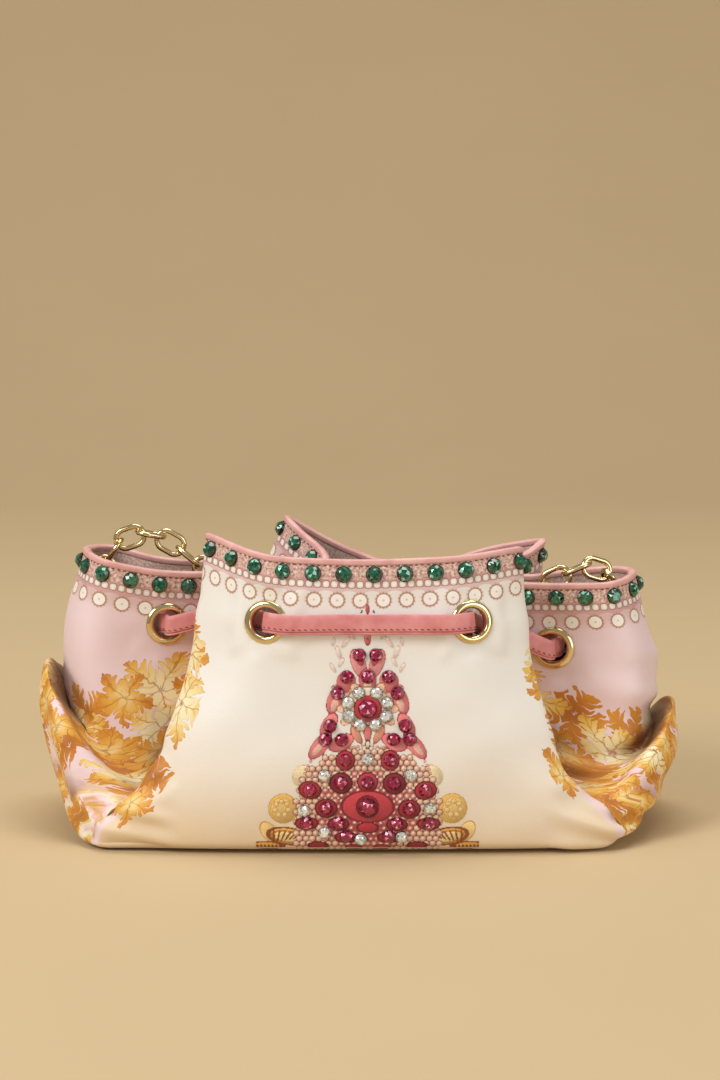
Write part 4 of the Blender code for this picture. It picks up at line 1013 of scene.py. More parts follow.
def cloth():
    border, leaves, inward = cloth_values()
    surface = cloth_surface()
    crease = creases(surface)
    outer, inner = POINTS.copy(), POINTS - thicknesses(surface)[..., None] * NORMALS
    inner[0] = outer[0] + [0, 0, CLOTH]
    holes = cut_eyelets(outer, inner)
    points = [outer.reshape(-1, 3), inner.reshape(-1, 3)]
    number = np.arange((ROWS + 1) * COLUMNS).reshape(ROWS + 1, COLUMNS)
    second = number + number.size
    faces, slots = wall_faces(number, second, holes, pressed_through(surface, inner))
    values = [
        [border.reshape(-1, 2)] * 2, [leaves.reshape(-1, 2)] * 2, [inward.ravel()] * 2, [crease.ravel()] * 2
    ]
    # The base, drawn in to its middle, outside and then inside
    count = 2 * number.size
    for slot, (last, edge) in enumerate(((number[0], outer[0]), (second[0], inner[0]))):
        for share in BASE_RINGS:
            points.append(edge * [share, share, 1])
            ring = np.arange(count, count + COLUMNS)
            count += COLUMNS
            for c in range(COLUMNS):
                d = (c + 1) % COLUMNS
                quad = (last[c], ring[c], ring[d], last[d])
                faces.append(quad[::-1] if slot else quad)
            last = ring
            further = [0, 30 * (1 - share)]
            ring_values = (border[0] + further, leaves[0] + further, inward[0], 0 * inward[0])
            for kept, added in zip(values, ring_values):
                kept.append(added)
        points.append(np.array([[0, 0, edge[0][2]]]))
        for c in range(COLUMNS):
            fan = (last[c], count, last[(c + 1) % COLUMNS])
            faces.append(fan[::-1] if slot else fan)
        slots += [slot] * (COLUMNS * (len(BASE_RINGS) + 1))
        count += 1
        for kept, added in zip(values, ([[0, BASE_DROP]], [[0, BASE_DROP]], [BASE_INWARD], [0.0])):
            kept.append(np.array(added))
    made = piece("bag_cloth", np.concatenate(points), faces, [SATIN, FACING], slots=slots)
    corner_values(made.data, "border", np.concatenate(values[0]))
    corner_values(made.data, "leaves", np.concatenate(values[1]))
    mend_wrap(made.data)
    # The crease attribute carries the painted shade of the lobes' creases
    for name, numbers in (("inward", values[2]), ("crease", values[3])):
        layer = made.data.attributes.new(name, "FLOAT", "POINT")
        layer.data.foreach_set("value", np.concatenate(numbers).astype(np.float32))
    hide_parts("pouch")
    return made


def mend_wrap(mesh):
    """Where a face joins the last column to the first, its run goes on instead of starting again."""
    whole = {"border": RIM_ROUND / MM, "leaves": None}
    for name, length in whole.items():
        values = np.zeros(len(mesh.loops) * 2, np.float32)
        mesh.uv_layers[name].data.foreach_get("uv", values)
        values = values.reshape(-1, 2)
        for face in mesh.polygons:
            loops = list(face.loop_indices)
            runs = values[loops, 0]
            if runs.max() - runs.min() > 200:
                if length:
                    values[loops, 0] = np.where(runs < runs.max() - 200, runs + length, runs)
                else:
                    values[loops, 0] = runs.max()
        mesh.uv_layers[name].data.foreach_set("uv", values.ravel())


# The rim's binding, its stitches, and the rows of stones

# Of the binding, from the cloth: how far down it reaches, how thick its leather is and how high it rises
BINDING_DROP, BINDING_LEAF, BINDING_RISE = 1.7 * MM, 0.6 * MM, 0.75 * MM


def binding():
    half = CLOTH / 2 + BINDING_LEAF
    leg = [(BINDING_DROP, 0.1 * MM), (BINDING_DROP - 0.08 * MM, 0.42 * MM), (1.3 * MM, 0.58 * MM),
           (0.5 * MM, BINDING_LEAF)]
    profile = list(leg)
    for turn in np.linspace(0, math.pi, 9):
        profile.append((-BINDING_RISE * math.sin(turn), -CLOTH / 2 + half * math.cos(turn)))
    profile += [(drop, -CLOTH - lift) for drop, lift in reversed(leg)]
    points = np.concatenate([band_line(drop, lift) for drop, lift in profile])
    rings = [list(range(i * COLUMNS, (i + 1) * COLUMNS)) for i in range(len(profile))]
    faces = [tuple(reversed(f)) for f in loop_faces(rings)]
    made = piece("rim_binding_leather", points, faces, [BINDING_LEATHER])
    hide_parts("rim_binding")
    return made


# Half of a stitch's outline: place along it, thickness and depth, as shares of its length and radius
STITCH = ((-0.5, 0.35, -0.6), (-0.3, 0.9, 0.1), (0, 1, 0.35), (0.3, 0.9, 0.1), (0.5, 0.35, -0.6))
STITCH_SIDES = 6
STITCH_PITCH, STITCH_LENGTH = 2.4 * MM, 1.5 * MM


def stitches(name, line, normals, radius, slant=0.0):
    """Short stitches along a closed line of points."""
    steps = np.linalg.norm(np.roll(line, -1, axis=0) - line, axis=1)
    runs = np.concatenate([[0], np.cumsum(steps)])
    number = round(runs[-1] / STITCH_PITCH)
    pile = Pile()
    line, normals = np.vstack([line, line[:1]]), np.vstack([normals, normals[:1]])

    def at(run, values):
        return np.array([np.interp(run % runs[-1], runs, column) for column in values.T])

    for i in range(number):
        here = runs[-1] * (i + 0.5) / number
        ends = [at(here + side * STITCH_LENGTH / 2, line) for side in (-1, 1)]
        normal = unit(at(here, normals))
        along = unit(ends[1] - ends[0])
        middle = (ends[0] + ends[1]) / 2
        tilt = unit(along + slant * np.cross(along, normal))
        across = np.cross(tilt, normal)
        points = []
        for place, thick, sink in STITCH:
            centre = middle + place * STITCH_LENGTH * tilt + sink * radius * normal
            for turn in np.arange(STITCH_SIDES) * math.tau / STITCH_SIDES:
                points.append(centre + thick * radius * (math.cos(turn) * across + math.sin(turn) * normal))
        numbers = np.arange(len(points)).reshape(-1, STITCH_SIDES).tolist()
        pile.put(points, loop_faces(numbers, closed=False) + [tuple(numbers[0][::-1]), tuple(numbers[-1])])
    return pile.make(name, [THREAD])


def binding_stitches():
    line, below = band_line(2.1 * MM, 0.06 * MM), band_line(2.1 * MM, -1 * MM)
    return stitches("rim_stitches", line, line - below, 0.2 * MM)


# The stones' small differences, drawn in the order in which they are made
RANDOM = np.random.default_rng(7)


def cut_stone(pile, place, across, other, normal, size, rise, turn=0.0):
    """A round brilliant: table, star, kite and girdle facets, over a short wall."""
    c, s = math.cos(turn), math.sin(turn)
    across, other = c * across + s * other, c * other - s * across
    points = []

    def ring(count, share, height, offset):
        first = len(points)
        for k in range(count):
            a = math.tau * (k + offset) / count
            way = math.cos(a) * across + math.sin(a) * other
            points.append(place + size * share * way + height * normal)
        return [first + k for k in range(count)]

    table = ring(8, 0.27, rise, 0)
    star = ring(8, 0.385, 0.74 * rise, 0.5)
    girdle = ring(16, 0.5, 0.25 * rise, 0)
    foot = ring(16, 0.5, -0.2 * rise, 0)
    points.append(place + rise * normal)
    centre = len(points) - 1
    faces, values = [], []
    # Each facet's glint value, at random from dark to bright, becomes a painted reflection in its material
    for j in range(8):
        k = (j + 1) % 8
        faces.append((centre, table[j], table[k]))
        values.append(RANDOM.choice([0.12, 0.3, 0.42, 0.55, 0.86], p=[0.2, 0.25, 0.25, 0.2, 0.1]))
        faces.append((table[j], star[j], table[k]))
        values.append(RANDOM.uniform(0.1, 0.7))
        faces.append((table[j], star[j - 1], girdle[2 * j], star[j]))
        values.append(RANDOM.choice([0.05, 0.3, 0.5, 0.8], p=[0.3, 0.35, 0.25, 0.1]))
        faces.append((star[j], girdle[2 * j], girdle[2 * j + 1]))
        faces.append((star[j], girdle[2 * j + 1], girdle[(2 * j + 2) % 16]))
        values += [RANDOM.uniform(0.0, 0.5), RANDOM.uniform(0.0, 0.5)]
    for k in range(16):
        faces.append((girdle[k], foot[k], foot[(k + 1) % 16], girdle[(k + 1) % 16]))
        values.append(0.05)
    faces.append(tuple(foot[::-1]))
    values.append(0.0)
    pile.put(points, faces, values)


def bezel(pile, place, across, other, normal, size, wide=0.22 * MM):
    """A low ring round a stone."""
    inner, outer = size / 2 - 0.1 * MM, size / 2 + wide
    profile = [(inner, -0.25 * MM), (outer, -0.25 * MM), (outer, 0.12 * MM), (outer - 0.08 * MM, 0.24 * MM),
               (inner + 0.06 * MM, 0.28 * MM), (inner, 0.2 * MM)]
    pile.rings(lathe(place, across, other, normal, profile, 20), 20)


STONE_SIZE, STONE_RISE, STONE_DROP, STONE_PITCH = 6.2 * MM, 2.2 * MM, 5.3 * MM, 12 * MM
# Where along the front a stone of the row falls, in mm from the middle
STONE_START = 5.6


def rim_stones():
    stones, settings = Pile(), Pile()
    line = band_line(STONE_DROP, 0.0)
    steps = np.linalg.norm(np.roll(line, -1, axis=0) - line, axis=1)
    runs = np.concatenate([[0], np.cumsum(steps)])
    number = round(runs[-1] / STONE_PITCH)
    front = [c for c in range(COLUMNS) if line[c, 1] < -40 * MM and abs(line[c, 0]) < 30 * MM]
    start = np.interp(STONE_START * MM, line[front, 0], runs[front])
    valleys = [runs[int(column_of(at))] for at in mirrored(VALLEY_AT)]
    for i in range(number):
        here = (start + runs[-1] * i / number) % runs[-1]
        if min(abs(here - valley) for valley in valleys) < 6.6 * MM:
            continue
        column = float(np.interp(here, runs, range(COLUMNS + 1)))
        place, along, rise, normal = cloth_frame(column % COLUMNS, drop=STONE_DROP)
        near = [cloth_frame((column + s) % COLUMNS, drop=STONE_DROP)[0] for s in (-1.6, 1.6)]
        along = unit(near[1] - near[0])
        normal = unit(np.cross(along, rise))
        tip = RANDOM.uniform(-0.10, 0.10, 2)
        normal = unit(normal + tip[0] * along + tip[1] * rise)
        along = unit(along - normal * (along @ normal))
        other = np.cross(normal, along)
        place = place + 0.25 * MM * normal
        cut_stone(stones, place, along, other, normal, STONE_SIZE, STONE_RISE, RANDOM.uniform(0, 1.5))
        bezel(settings, place, along, other, normal, STONE_SIZE)
    made = stones.make("rim_emeralds", [EMERALD], soft=False)
    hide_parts("rim_stones")
    return made, settings.make("rim_settings", [SETTING])


# The motif on the front: stones in their places, x and z in mm, over printed shapes

MOTIF_SHIFT = 3.0
RUBIES = (
    (-3.2, 79.5), (3.2, 79.5), (-8.2, 71), (0, 71), (8.2, 71), (-11.7, 64.5), (11.7, 64.5),
    (-14.7, 51.8), (14.7, 51.8), (-16.6, 46.5), (-10.2, 46.5), (10.2, 46.5), (16.6, 46.5),
    (-8.8, 38.5), (8.8, 38.5), (-10.5, 29.5), (0, 29.5), (10.5, 29.5), (-22.7, 26.8), (22.7, 26.8),
    (-16.3, 19.5), (16.3, 19.5), (-24, 13.6), (-11.5, 13.6), (11.5, 13.6), (24, 13.6),
    (-8.3, 8.3), (8.3, 8.3),
)
LARGE_RUBIES = ((0, 58.5), (0, 20))
CRYSTALS = (
    (-3.4, 64.6), (3.4, 64.6), (-7.6, 60.8), (7.6, 60.8), (-7.3, 55.6), (7.3, 55.6), (-3.0, 52.2),
    (3.0, 52.2), (0, 38.6), (-17.0, 32.4), (17.0, 32.6), (-25.2, 18.4), (24.4, 19.6), (-16.9, 9.6),
    (-2.7, 7.0), (13.4, 8.0),
)


def motif_stones():
    rubies, crystals, settings = Pile(), Pile(), Pile()
    for pile, places, size, rise in (
        (rubies, RUBIES, 5.1 * MM, 1.8 * MM), (rubies, LARGE_RUBIES, 7.2 * MM, 2.2 * MM),
        (crystals, CRYSTALS, 4.8 * MM, 1.6 * MM),
    ):
        for x, z in places:
            place, along, _, normal = front_frame(x + MOTIF_SHIFT, z)
            place = place + 0.35 * MM * normal
            other = np.cross(normal, along)
            cut_stone(pile, place, along, other, normal, size, rise, RANDOM.uniform(0, 1.5))
            bezel(settings, place, along, other, normal, size, 0.06 * MM)
    made = rubies.make("motif_rubies", [RUBY], soft=False)
    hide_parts("front_motif")
    clear = crystals.make("motif_crystals", [CRYSTAL], soft=False)
    rings = settings.make("motif_settings", [SETTING])
    return made, clear, rings


Shape = namedtuple("Shape", "x z wide tall turn fill line edge")


# Inks of the motif: the fill, the outline and its width in mm
INKS = {
    "amber disc": ("#e2b968", "#c68f42", 0.4),
    "amber heart": ("#e8c680", "#d3a052", 0.3),
    "amber bead": ("#edd396", "#c88f42", 0.3),
    "straw oval": ("#f0dcb4", "#dcb880", 0.35),
    "straw leaf": ("#e9c886", "#c68f42", 0.4),
    "gold shell": ("#dca850", "#8e4a22", 0.8),
    "shell heart": ("#f0d698", "#b57430", 0.5),
    "shell rib": ("#8e4a22", "#8e4a22", 0.0),
    "gold foot": ("#dfa850", "#8e4a22", 0.6),
    "foot notch": ("#7a4024", "#7a4024", 0.0),
    "tracery": ("#f2e3d8", "#e2c0ae", 0.3),
    "string bead": ("#e8bfae", "#b87464", 0.3),
    "bead heart": ("#f2dcc4", "#f2dcc4", 0.0),
    "crown petal": ("#ec9a98", "#b4505a", 0.35),
    "crown heart": ("#d95d68", "#a03848", 0.2),
    "crown tip": ("#ec9a98", "#b4505a", 0.3),
    "coral petal": ("#e67c80", "#a03c4a", 0.35),
    "peach petal": ("#f0b49c", "#a8584a", 0.3),
    "rose petal": ("#ea8888", "#a8444e", 0.35),
    "rose heart": ("#f4c0b0", "#c87068", 0.2),
    "garland petal": ("#f0c8ae", "#b4745c", 0.35),
    "garland": ("#f2dfce", "#b07c68", 0.4),
    "garland heart": ("#cf4048", "#7a2030", 0.5),
    "salmon leaf": ("#e8a088", "#a85a50", 0.3),
    "rose leaf": ("#ea8888", "#a8444e", 0.3),
    "ivory drop": ("#f0e0c8", "#6a4436", 0.45),
    "red oval": ("#c23c48", "#6a1826", 0.55),
    "wine oval": ("#8f2233", "#4e121e", 0.6),
    "scarlet oval": ("#b8303e", "#661824", 0.55),
    "scarlet disc": ("#b8303e", "#661824", 0.5),
    "scarlet foot": ("#b8303e", "#661824", 0.4),
    "great oval": ("#c4404a", "#7c2030", 0.7),
    "great heart": ("#9a1f33", "#5c1420", 0.5),
    "crimson oval": ("#a82a3a", "#5c1420", 0.6),
    "crimson disc": ("#a82a3a", "#5c1420", 0.5),
    "crimson foot": ("#9c2434", "#5c1420", 0.45),
    "ruby bed": ("#c4505c", "#a03c50", 0.25),
    "crystal bed": ("#f4ebe0", "#a88478", 0.3),
    "finial": ("#cf5a5c", "#8a3038", 0.25),
    "finial leaf": ("#5a5048", "#3c342e", 0.2),
    "pendant": ("#d46a6c", "#9a4048", 0.25),
}
# The fan's ground of linked beads, with the shares of its half size that each ink reaches out to
FAN_BEADS = ((0.55, "#bf525c"), (0.82, "#d5857c"), (9.0, "#e8bda4"))
FAN_OUTLINE, FAN_EDGE = "#8c4a40", 0.34
# Strings of small beads: how far they sag sideways and the x and z of their ends, in mm
STRINGS = (
    (1.4, (9.6, 68.2), (13.6, 66.6)), (-2.2, (9.8, 62.8), (14.6, 54.4)), (1.6, (2.6, 66.9), (7.8, 66.2)),
    (-1.8, (4.0, 50.4), (9.0, 47.8)), (1.2, (2.0, 44.0), (7.4, 42.6)), (1.2, (19.2, 41.2), (24.4, 33.4)),
)
# Printed shapes behind and before the fan: x, z, half width and half height in mm, turn and ink. Each one
# off the middle has its mirror image
BEHIND_FAN = (
    (33.2, 19.5, 6.0, 6.2, 0, "amber disc"), (33.8, 19.5, 4.4, 4.6, 0, "amber heart"),
    *((33.8 + 2.7 * math.sin(a), 19.5 + 2.8 * math.cos(a), 1.15, 1.15, 0, "amber bead")
      for a in (math.tau * i / 7 for i in range(7))),
    (25.5, 32.5, 4.0, 4.6, 0.5, "straw oval"), (38.8, 10.0, 3.2, 5.0, -0.6, "straw leaf"),
    (31.5, 8.2, 8.6, 3.9, 0.15, "gold shell"), (32.0, 8.0, 6.2, 2.5, 0.15, "shell heart"),
    *((27.4 + 1.9 * i, 8.4, 0.42, 2.5, 1.0 - 0.2 * i, "shell rib") for i in range(6)),
    (39.5, 4.2, 7.4, 2.0, 0.05, "gold foot"),
    *((34.5 + 1.5 * i, 4.0, 0.5, 0.7, 0, "foot notch") for i in range(8)),
    (8.6, 84.4, 1.1, 2.9, 0.6, "tracery"), (11.4, 80.6, 1.2, 3.0, -0.3, "tracery"),
    (10.4, 76.6, 1.0, 2.4, 0.5, "tracery"), (6.2, 87.0, 0.9, 2.2, -0.7, "tracery"),
    (13.4, 84.6, 0.9, 2.0, 0.2, "tracery"), (13.6, 74.6, 1.0, 2.4, -0.5, "tracery"),
)
BEFORE_FAN = (
    (3.6, 76.2, 3.0, 6.2, -0.35, "crown petal"), (3.4, 78.6, 1.5, 3.6, -0.35, "crown heart"),
    (0, 86.0, 1.5, 3.2, 0, "crown tip"), (8.4, 69.2, 3.9, 4.4, 0.3, "coral petal"),
    (0, 69.8, 3.6, 4.6, 0, "coral petal"), (5.2, 66.2, 2.0, 2.6, 0.7, "peach petal"),
    (12.9, 62.0, 3.1, 6.0, 0.35, "rose petal"), (12.9, 60.2, 1.5, 3.4, 0.35, "rose heart"),
)
GARLAND_PETALS = 12
AFTER_GARLAND = (
    (0, 58.5, 9.6, 8.8, 0, "garland"), (0, 58.5, 5.6, 5.4, 0, "garland heart"),
    (15.2, 52.0, 3.0, 5.6, 0.5, "rose petal"), (10.4, 45.4, 3.2, 5.6, 1.1, "rose petal"),
    (18.6, 44.2, 3.1, 6.6, 0.7, "rose petal"), (19.6, 43.0, 1.4, 3.8, 0.7, "rose heart"),
    (4.4, 48.4, 1.7, 4.2, -0.5, "salmon leaf"), (0, 48.6, 1.5, 3.8, 0, "rose leaf"),
    (0, 44.6, 1.2, 2.0, 0, "ivory drop"), (8.8, 38.3, 3.9, 4.1, 0, "red oval"),
    (10.5, 29.4, 4.7, 4.3, 0, "wine oval"), (0, 29.9, 4.2, 3.9, 0, "red oval"),
    (22.7, 26.8, 4.6, 3.7, 0.2, "scarlet oval"), (0, 20.2, 10.8, 6.6, 0, "great oval"),
    (0, 20.2, 4.6, 4.5, 0, "great heart"), (16.3, 19.4, 4.6, 3.9, 0, "crimson oval"),
    (24, 13.4, 4.8, 2.7, 0, "scarlet disc"), (11.5, 13.2, 4.4, 2.8, 0, "crimson disc"),
    (0, 11.8, 4.6, 2.4, 0, "scarlet disc"), (8.3, 7.8, 4.9, 2.4, 0, "crimson disc"),
    (19.5, 4.4, 4.4, 1.7, 0, "crimson foot"), (5.6, 3.6, 3.6, 1.3, 0, "scarlet foot"),
)
ON_TOP = (
    (0, 97.2, 0.9, 2.2, 0, "finial"), (2.4, 96.2, 0.5, 0.9, 0.3, "finial leaf"),
    (0, 84.6, 0.8, 1.6, 0, "pendant"),
)


def mirror_images(rows):
    """The shapes of a table's rows, each off the middle followed by its mirror image."""
    shapes = []
    for x, z, wide, tall, turn, ink in rows:
        shapes.append(Shape(x, z, wide, tall, turn, *INKS[ink]))
        if x:
            shapes.append(Shape(-x, z, wide, tall, -turn, *INKS[ink]))
    return shapes


def bead_strings():
    """Rows of the small beads on the strings that hang between the stones."""
    for sag, first, last in STRINGS:
        for share in np.linspace(0, 1, 6):
            x = first[0] + (last[0] - first[0]) * share + sag * math.sin(math.pi * share)
            yield x, first[1] + (last[1] - first[1]) * share, 0.75, 0.75, 0, "string bead"


def fan_beads():
    """The ground of the lower part: small linked beads in rows, deeper towards its middle."""
    for row, height in enumerate(np.arange(3.0, 43.5, 2.15)):
        half = 28.4 * math.sqrt(max(1 - max((height - 12) / 31.5, 0) ** 3, 0))
        count = max(round(half / 1.28), 1) + row % 2
        for i in range(count):
            x = (i - (count - 1) / 2) * 2.56
            out = math.hypot(x / 24, (height - 18) / 20)
            fill = next(code for reach, code in FAN_BEADS if out < reach)
            yield Shape(x, height, 1.42, 1.42, 0, fill, FAN_OUTLINE, FAN_EDGE)
            yield Shape(x, height, 0.5, 0.5, 0, *INKS["bead heart"])


def motif_shapes():
    """Printed shapes of the motif, from the back to the front: petals, ovals, beads and curls."""
    shapes = mirror_images(BEHIND_FAN) + mirror_images(bead_strings()) + [*fan_beads()]
    shapes += mirror_images(BEFORE_FAN)
    for i in range(GARLAND_PETALS):
        turn = math.tau * i / GARLAND_PETALS
        x, z = 9.4 * math.sin(turn), 58.5 + 8.8 * math.cos(turn)
        shapes.append(Shape(x, z, 1.9, 3.0, -turn, *INKS["garland petal"]))
    shapes += mirror_images(AFTER_GARLAND)
    shapes += [Shape(x, z, 2.7, 2.7, 0, *INKS["ruby bed"]) for x, z in RUBIES if z > 44]
    shapes += [Shape(x, z, 2.6, 2.6, 0, *INKS["crystal bed"]) for x, z in CRYSTALS[:8]]
    return shapes + mirror_images(ON_TOP)


# Pitch of the print's grid in mm, and how far off the cloth its film lies
PRINT_PITCH, PRINT_LIFT = 0.3, 0.13 * MM


def motif_print():
    """The printed shapes, on a film that lies just off the cloth and is cut to their outline."""
    xs, zs = np.arange(-44, 44.1, PRINT_PITCH), np.arange(2.4, 100, PRINT_PITCH)
    gx, gz = np.meshgrid(xs, zs)
    ink, inked = np.zeros((*gx.shape, 4)), np.zeros(gx.shape, bool)
    ink[...] = colour("#efe8dc")
    for shape in motif_shapes():
        dx, dz = gx - shape.x, gz - shape.z
        c, s = math.cos(shape.turn), math.sin(shape.turn)
        u, w = (c * dx + s * dz) / shape.wide, (c * dz - s * dx) / shape.tall
        far = np.hypot(u, w)
        depth = (1 - far) * min(shape.wide, shape.tall)
        inside, line = depth > 0, depth < shape.edge
        fill, dark = np.array(colour(shape.fill)), np.array(colour(shape.line))
        # a paler side towards the upper left, as a rounded gem has
        light = np.clip(0.92 + 0.30 * (w - 0.5 * u) * (far < 1), 0.6, 1.35)[..., None]
        ink = np.where((inside & ~line)[..., None], fill * light, ink)
        ink = np.where((inside & line)[..., None], dark, ink)
        inked |= inside
    inked[1:-1, 1:-1] |= inked[:-2, 1:-1] & inked[2:, 1:-1]
    whole = inked[:-1, :-1] & inked[1:, :-1] & inked[:-1, 1:] & inked[1:, 1:]
    frames = coarse_front(xs + MOTIF_SHIFT, zs)
    grid = np.full(gx.shape, -1)
    points, inks, faces = [], [], []
    for r, c in zip(*np.nonzero(whole)):
        quad = []
        for i, j in ((r, c), (r, c + 1), (r + 1, c + 1), (r + 1, c)):
            if grid[i, j] < 0:
                grid[i, j] = len(points)
                points.append(frames[i, j])
                inks.append(ink[i, j])
            quad.append(grid[i, j])
        faces.append(quad)
    made = piece("motif_print", points, faces, [INK])
    layer = made.data.color_attributes.new("ink", "FLOAT_COLOR", "POINT")
    layer.data.foreach_set("color", np.clip(np.array(inks), 0, 1).astype(np.float32).ravel())
    return made


def coarse_front(xs, zs):
    """Points just off the front of the cloth, for every x and z in mm, by way of a coarser grid."""
    coarse_x, coarse_z = np.arange(xs[0], xs[-1] + 2, 1.5), np.arange(zs[0], zs[-1] + 2, 1.5)
    grid = np.zeros((len(coarse_z), len(coarse_x), 3))
    for i, z in enumerate(coarse_z):
        for j, x in enumerate(coarse_x):
            place, _, _, normal = front_frame(x, z)
            grid[i, j] = place + PRINT_LIFT * normal
    rows = np.interp(zs, coarse_z, range(len(coarse_z)))
    columns = np.interp(xs, coarse_x, range(len(coarse_x)))
    r = np.minimum(rows.astype(int), len(coarse_z) - 2)
    c = np.minimum(columns.astype(int), len(coarse_x) - 2)
    fr, fc = (rows - r)[:, None, None], (columns - c)[None, :, None]
    top = grid[r + 1][:, c] * (1 - fc) + grid[r + 1][:, c + 1] * fc
    bottom = grid[r][:, c] * (1 - fc) + grid[r][:, c + 1] * fc
    return bottom * (1 - fr) + top * fr


# Eyelets, drawstring and chain

# Section of an eyelet, (from its axis, off the cloth) in mm: its tube, domed flange and rolled back washer
EYELET_PROFILE = (
    (5.60, -2.6), (5.52, -1.6), (5.50, -0.4), (5.62, 0.35), (5.90, 0.86), (6.35, 1.16), (6.90, 1.28),
    (7.45, 1.20), (7.95, 0.98), (8.35, 0.66), (8.60, 0.34), (8.68, 0.08), (8.40, 0.02), (6.20, 0.02),
    (6.20, -2.05), (7.60, -2.05), (7.78, -2.30), (7.60, -2.62), (7.00, -2.90), (6.20, -2.95), (5.75, -2.86),
)
EYELET_SIDES = 64


def eyelets():
    profile = [(r * MM, h * MM) for r, h in EYELET_PROFILE]
    for name, _, (centre, along, rise, normal) in EYELETS:
        pile = Pile()
        pile.rings(lathe(centre, along, rise, normal, profile, EYELET_SIDES), EYELET_SIDES)
        ring = pile.make(name + "_ring", [BRASS])
        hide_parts(name)


# How far beside an eyelet's middle and off it the strap passes, on a face and where it turns in, which
# eyelets it comes out of, and how many points its run along a face has
STRAP_BESIDE, STRAP_TURN = (10.5 * MM, 4.6 * MM), (1.8 * MM, 4.6 * MM)
STRAP_COMES_OUT = (1, 3, 5, 7, 9, 11)
STRAP_RUN_POINTS = 5


def draw_length():
    fine = np.linspace(0, AROUND, 1601)
    steps = np.linalg.norm(np.diff(drape(fine, [DRAW_AT])[0], axis=0), axis=1)
    return fine, np.concatenate([[0], np.cumsum(steps)])


def strap_path():
    """Places and width directions of the strap's middle line, in rows of six."""
    fine, lengths = draw_length()
    stops = []
    for index, (name, at, (centre, along, rise, normal)) in enumerate(EYELETS):
        middle = centre - CLOTH / 2 * normal
        heading_out = 1 if index in STRAP_COMES_OUT else -1

        def stop(side, reach_off):
            reach, off = reach_off
            return np.concatenate([middle + side * reach * along + side * heading_out * off * normal, rise])

        others = EYELETS[index - 1], EYELETS[(index + 1) % len(EYELETS)]
        on_face = ["face" in name and "face" in other[0] for other in others]
        stops += [stop(-1, STRAP_BESIDE)] if on_face[0] else []
        stops += [stop(-1, STRAP_TURN), np.concatenate([middle, rise]), stop(1, STRAP_TURN)]
        if on_face[1]:
            stops.append(stop(1, STRAP_BESIDE))
            start, end = np.interp([at, others[1][1]], fine, lengths)
            start -= lengths[-1] if start > end else 0
            for share in np.linspace(0, 1, STRAP_RUN_POINTS + 2)[1:-1]:
                here = start + (end - start) * share
                if min(here - start, end - here) > 2 * STRAP_BESIDE[0]:
                    around = float(np.interp(here % lengths[-1], lengths, fine))
                    point, _, up, out = drape_frame(around, DRAW_AT)
                    stops.append(np.concatenate([point + STRAP_OFF * out, up]))
    return np.array(stops)


def smooth_path(points, step):
    """Points at an even pitch along a closed curve through the given ones."""
    count, fine = len(points), []
    for i in range(count):
        a, b, c, d = (points[j % count] for j in (i - 1, i, i + 1, i + 2))
        for t in np.linspace(0, 1, 12, endpoint=False):
            bend = (2 * a - 5 * b + 4 * c - d) * t**2 + (3 * b - 3 * c + d - a) * t**3
            fine.append((2 * b + (c - a) * t + bend) / 2)
    fine = np.array([*fine, points[0]])
    lengths = np.concatenate([[0], np.cumsum(np.linalg.norm(np.diff(fine[:, :3], axis=0), axis=1))])
    places = np.linspace(0, lengths[-1], round(lengths[-1] / step) + 1)[:-1]
    return np.stack([np.interp(places, lengths, column) for column in fine.T], axis=1)


# Section of the strap, (up its width, out from its middle) in mm: a rounded upper edge, and a lower edge
# where the folded leather laps over itself
STRAP_PROFILE = (
    (3.55, 1.10), (3.85, 0.86), (3.98, 0.40), (3.98, -0.40), (3.85, -0.86), (3.50, -1.12), (1.0, -1.18),
    (-1.5, -1.18), (-3.50, -1.12), (-3.86, -0.90), (-3.98, -0.45), (-3.97, 0.25), (-3.84, 0.66),
    (-3.58, 0.88), (-3.28, 0.84), (-3.12, 0.62), (-3.02, 0.30), (-2.90, 0.30), (-2.80, 0.80),
    (-2.62, 1.04), (-2.2, 1.12), (-1.0, 1.17), (0.6, 1.20), (2.2, 1.17),
)
# Where the strap's seam runs, up its width and out from its middle
SEAM_PLACE = (-1.95 * MM, 1.12 * MM)


def drawstring():
    line = smooth_path(strap_path(), 1.0 * MM)
    place = line[:, :3]
    tangent = unit(np.roll(place, -1, axis=0) - np.roll(place, 1, axis=0))
    width = unit(line[:, 3:] - tangent * (line[:, 3:] * tangent).sum(1)[:, None])
    out = np.cross(tangent, width)
    rings = np.stack([place + a * MM * width + b * MM * out for a, b in STRAP_PROFILE], axis=1)
    pile = Pile()
    pile.rings(rings.reshape(-1, 3), len(STRAP_PROFILE))
    strap = pile.make("drawstring_leather", [STRAP_LEATHER])
    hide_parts("drawstring")
    seam = stitches("drawstring_stitches", place + SEAM_PLACE[0] * width + SEAM_PLACE[1] * out, out,
                    0.22 * MM, 0.35)


def link_frame(node):
    """Middle, long way, short way and thin way of a link, from its solid."""
    points = np.array([v.co for v in node.data.vertices])
    centre = points.mean(0)
    _, _, axes = np.linalg.svd(points - centre, full_matrices=False)
    return centre, axes[0], axes[1], axes[2]


# Steps round a link's oval and round its wire
LINK_STEPS, WIRE_SIDES = 48, 16


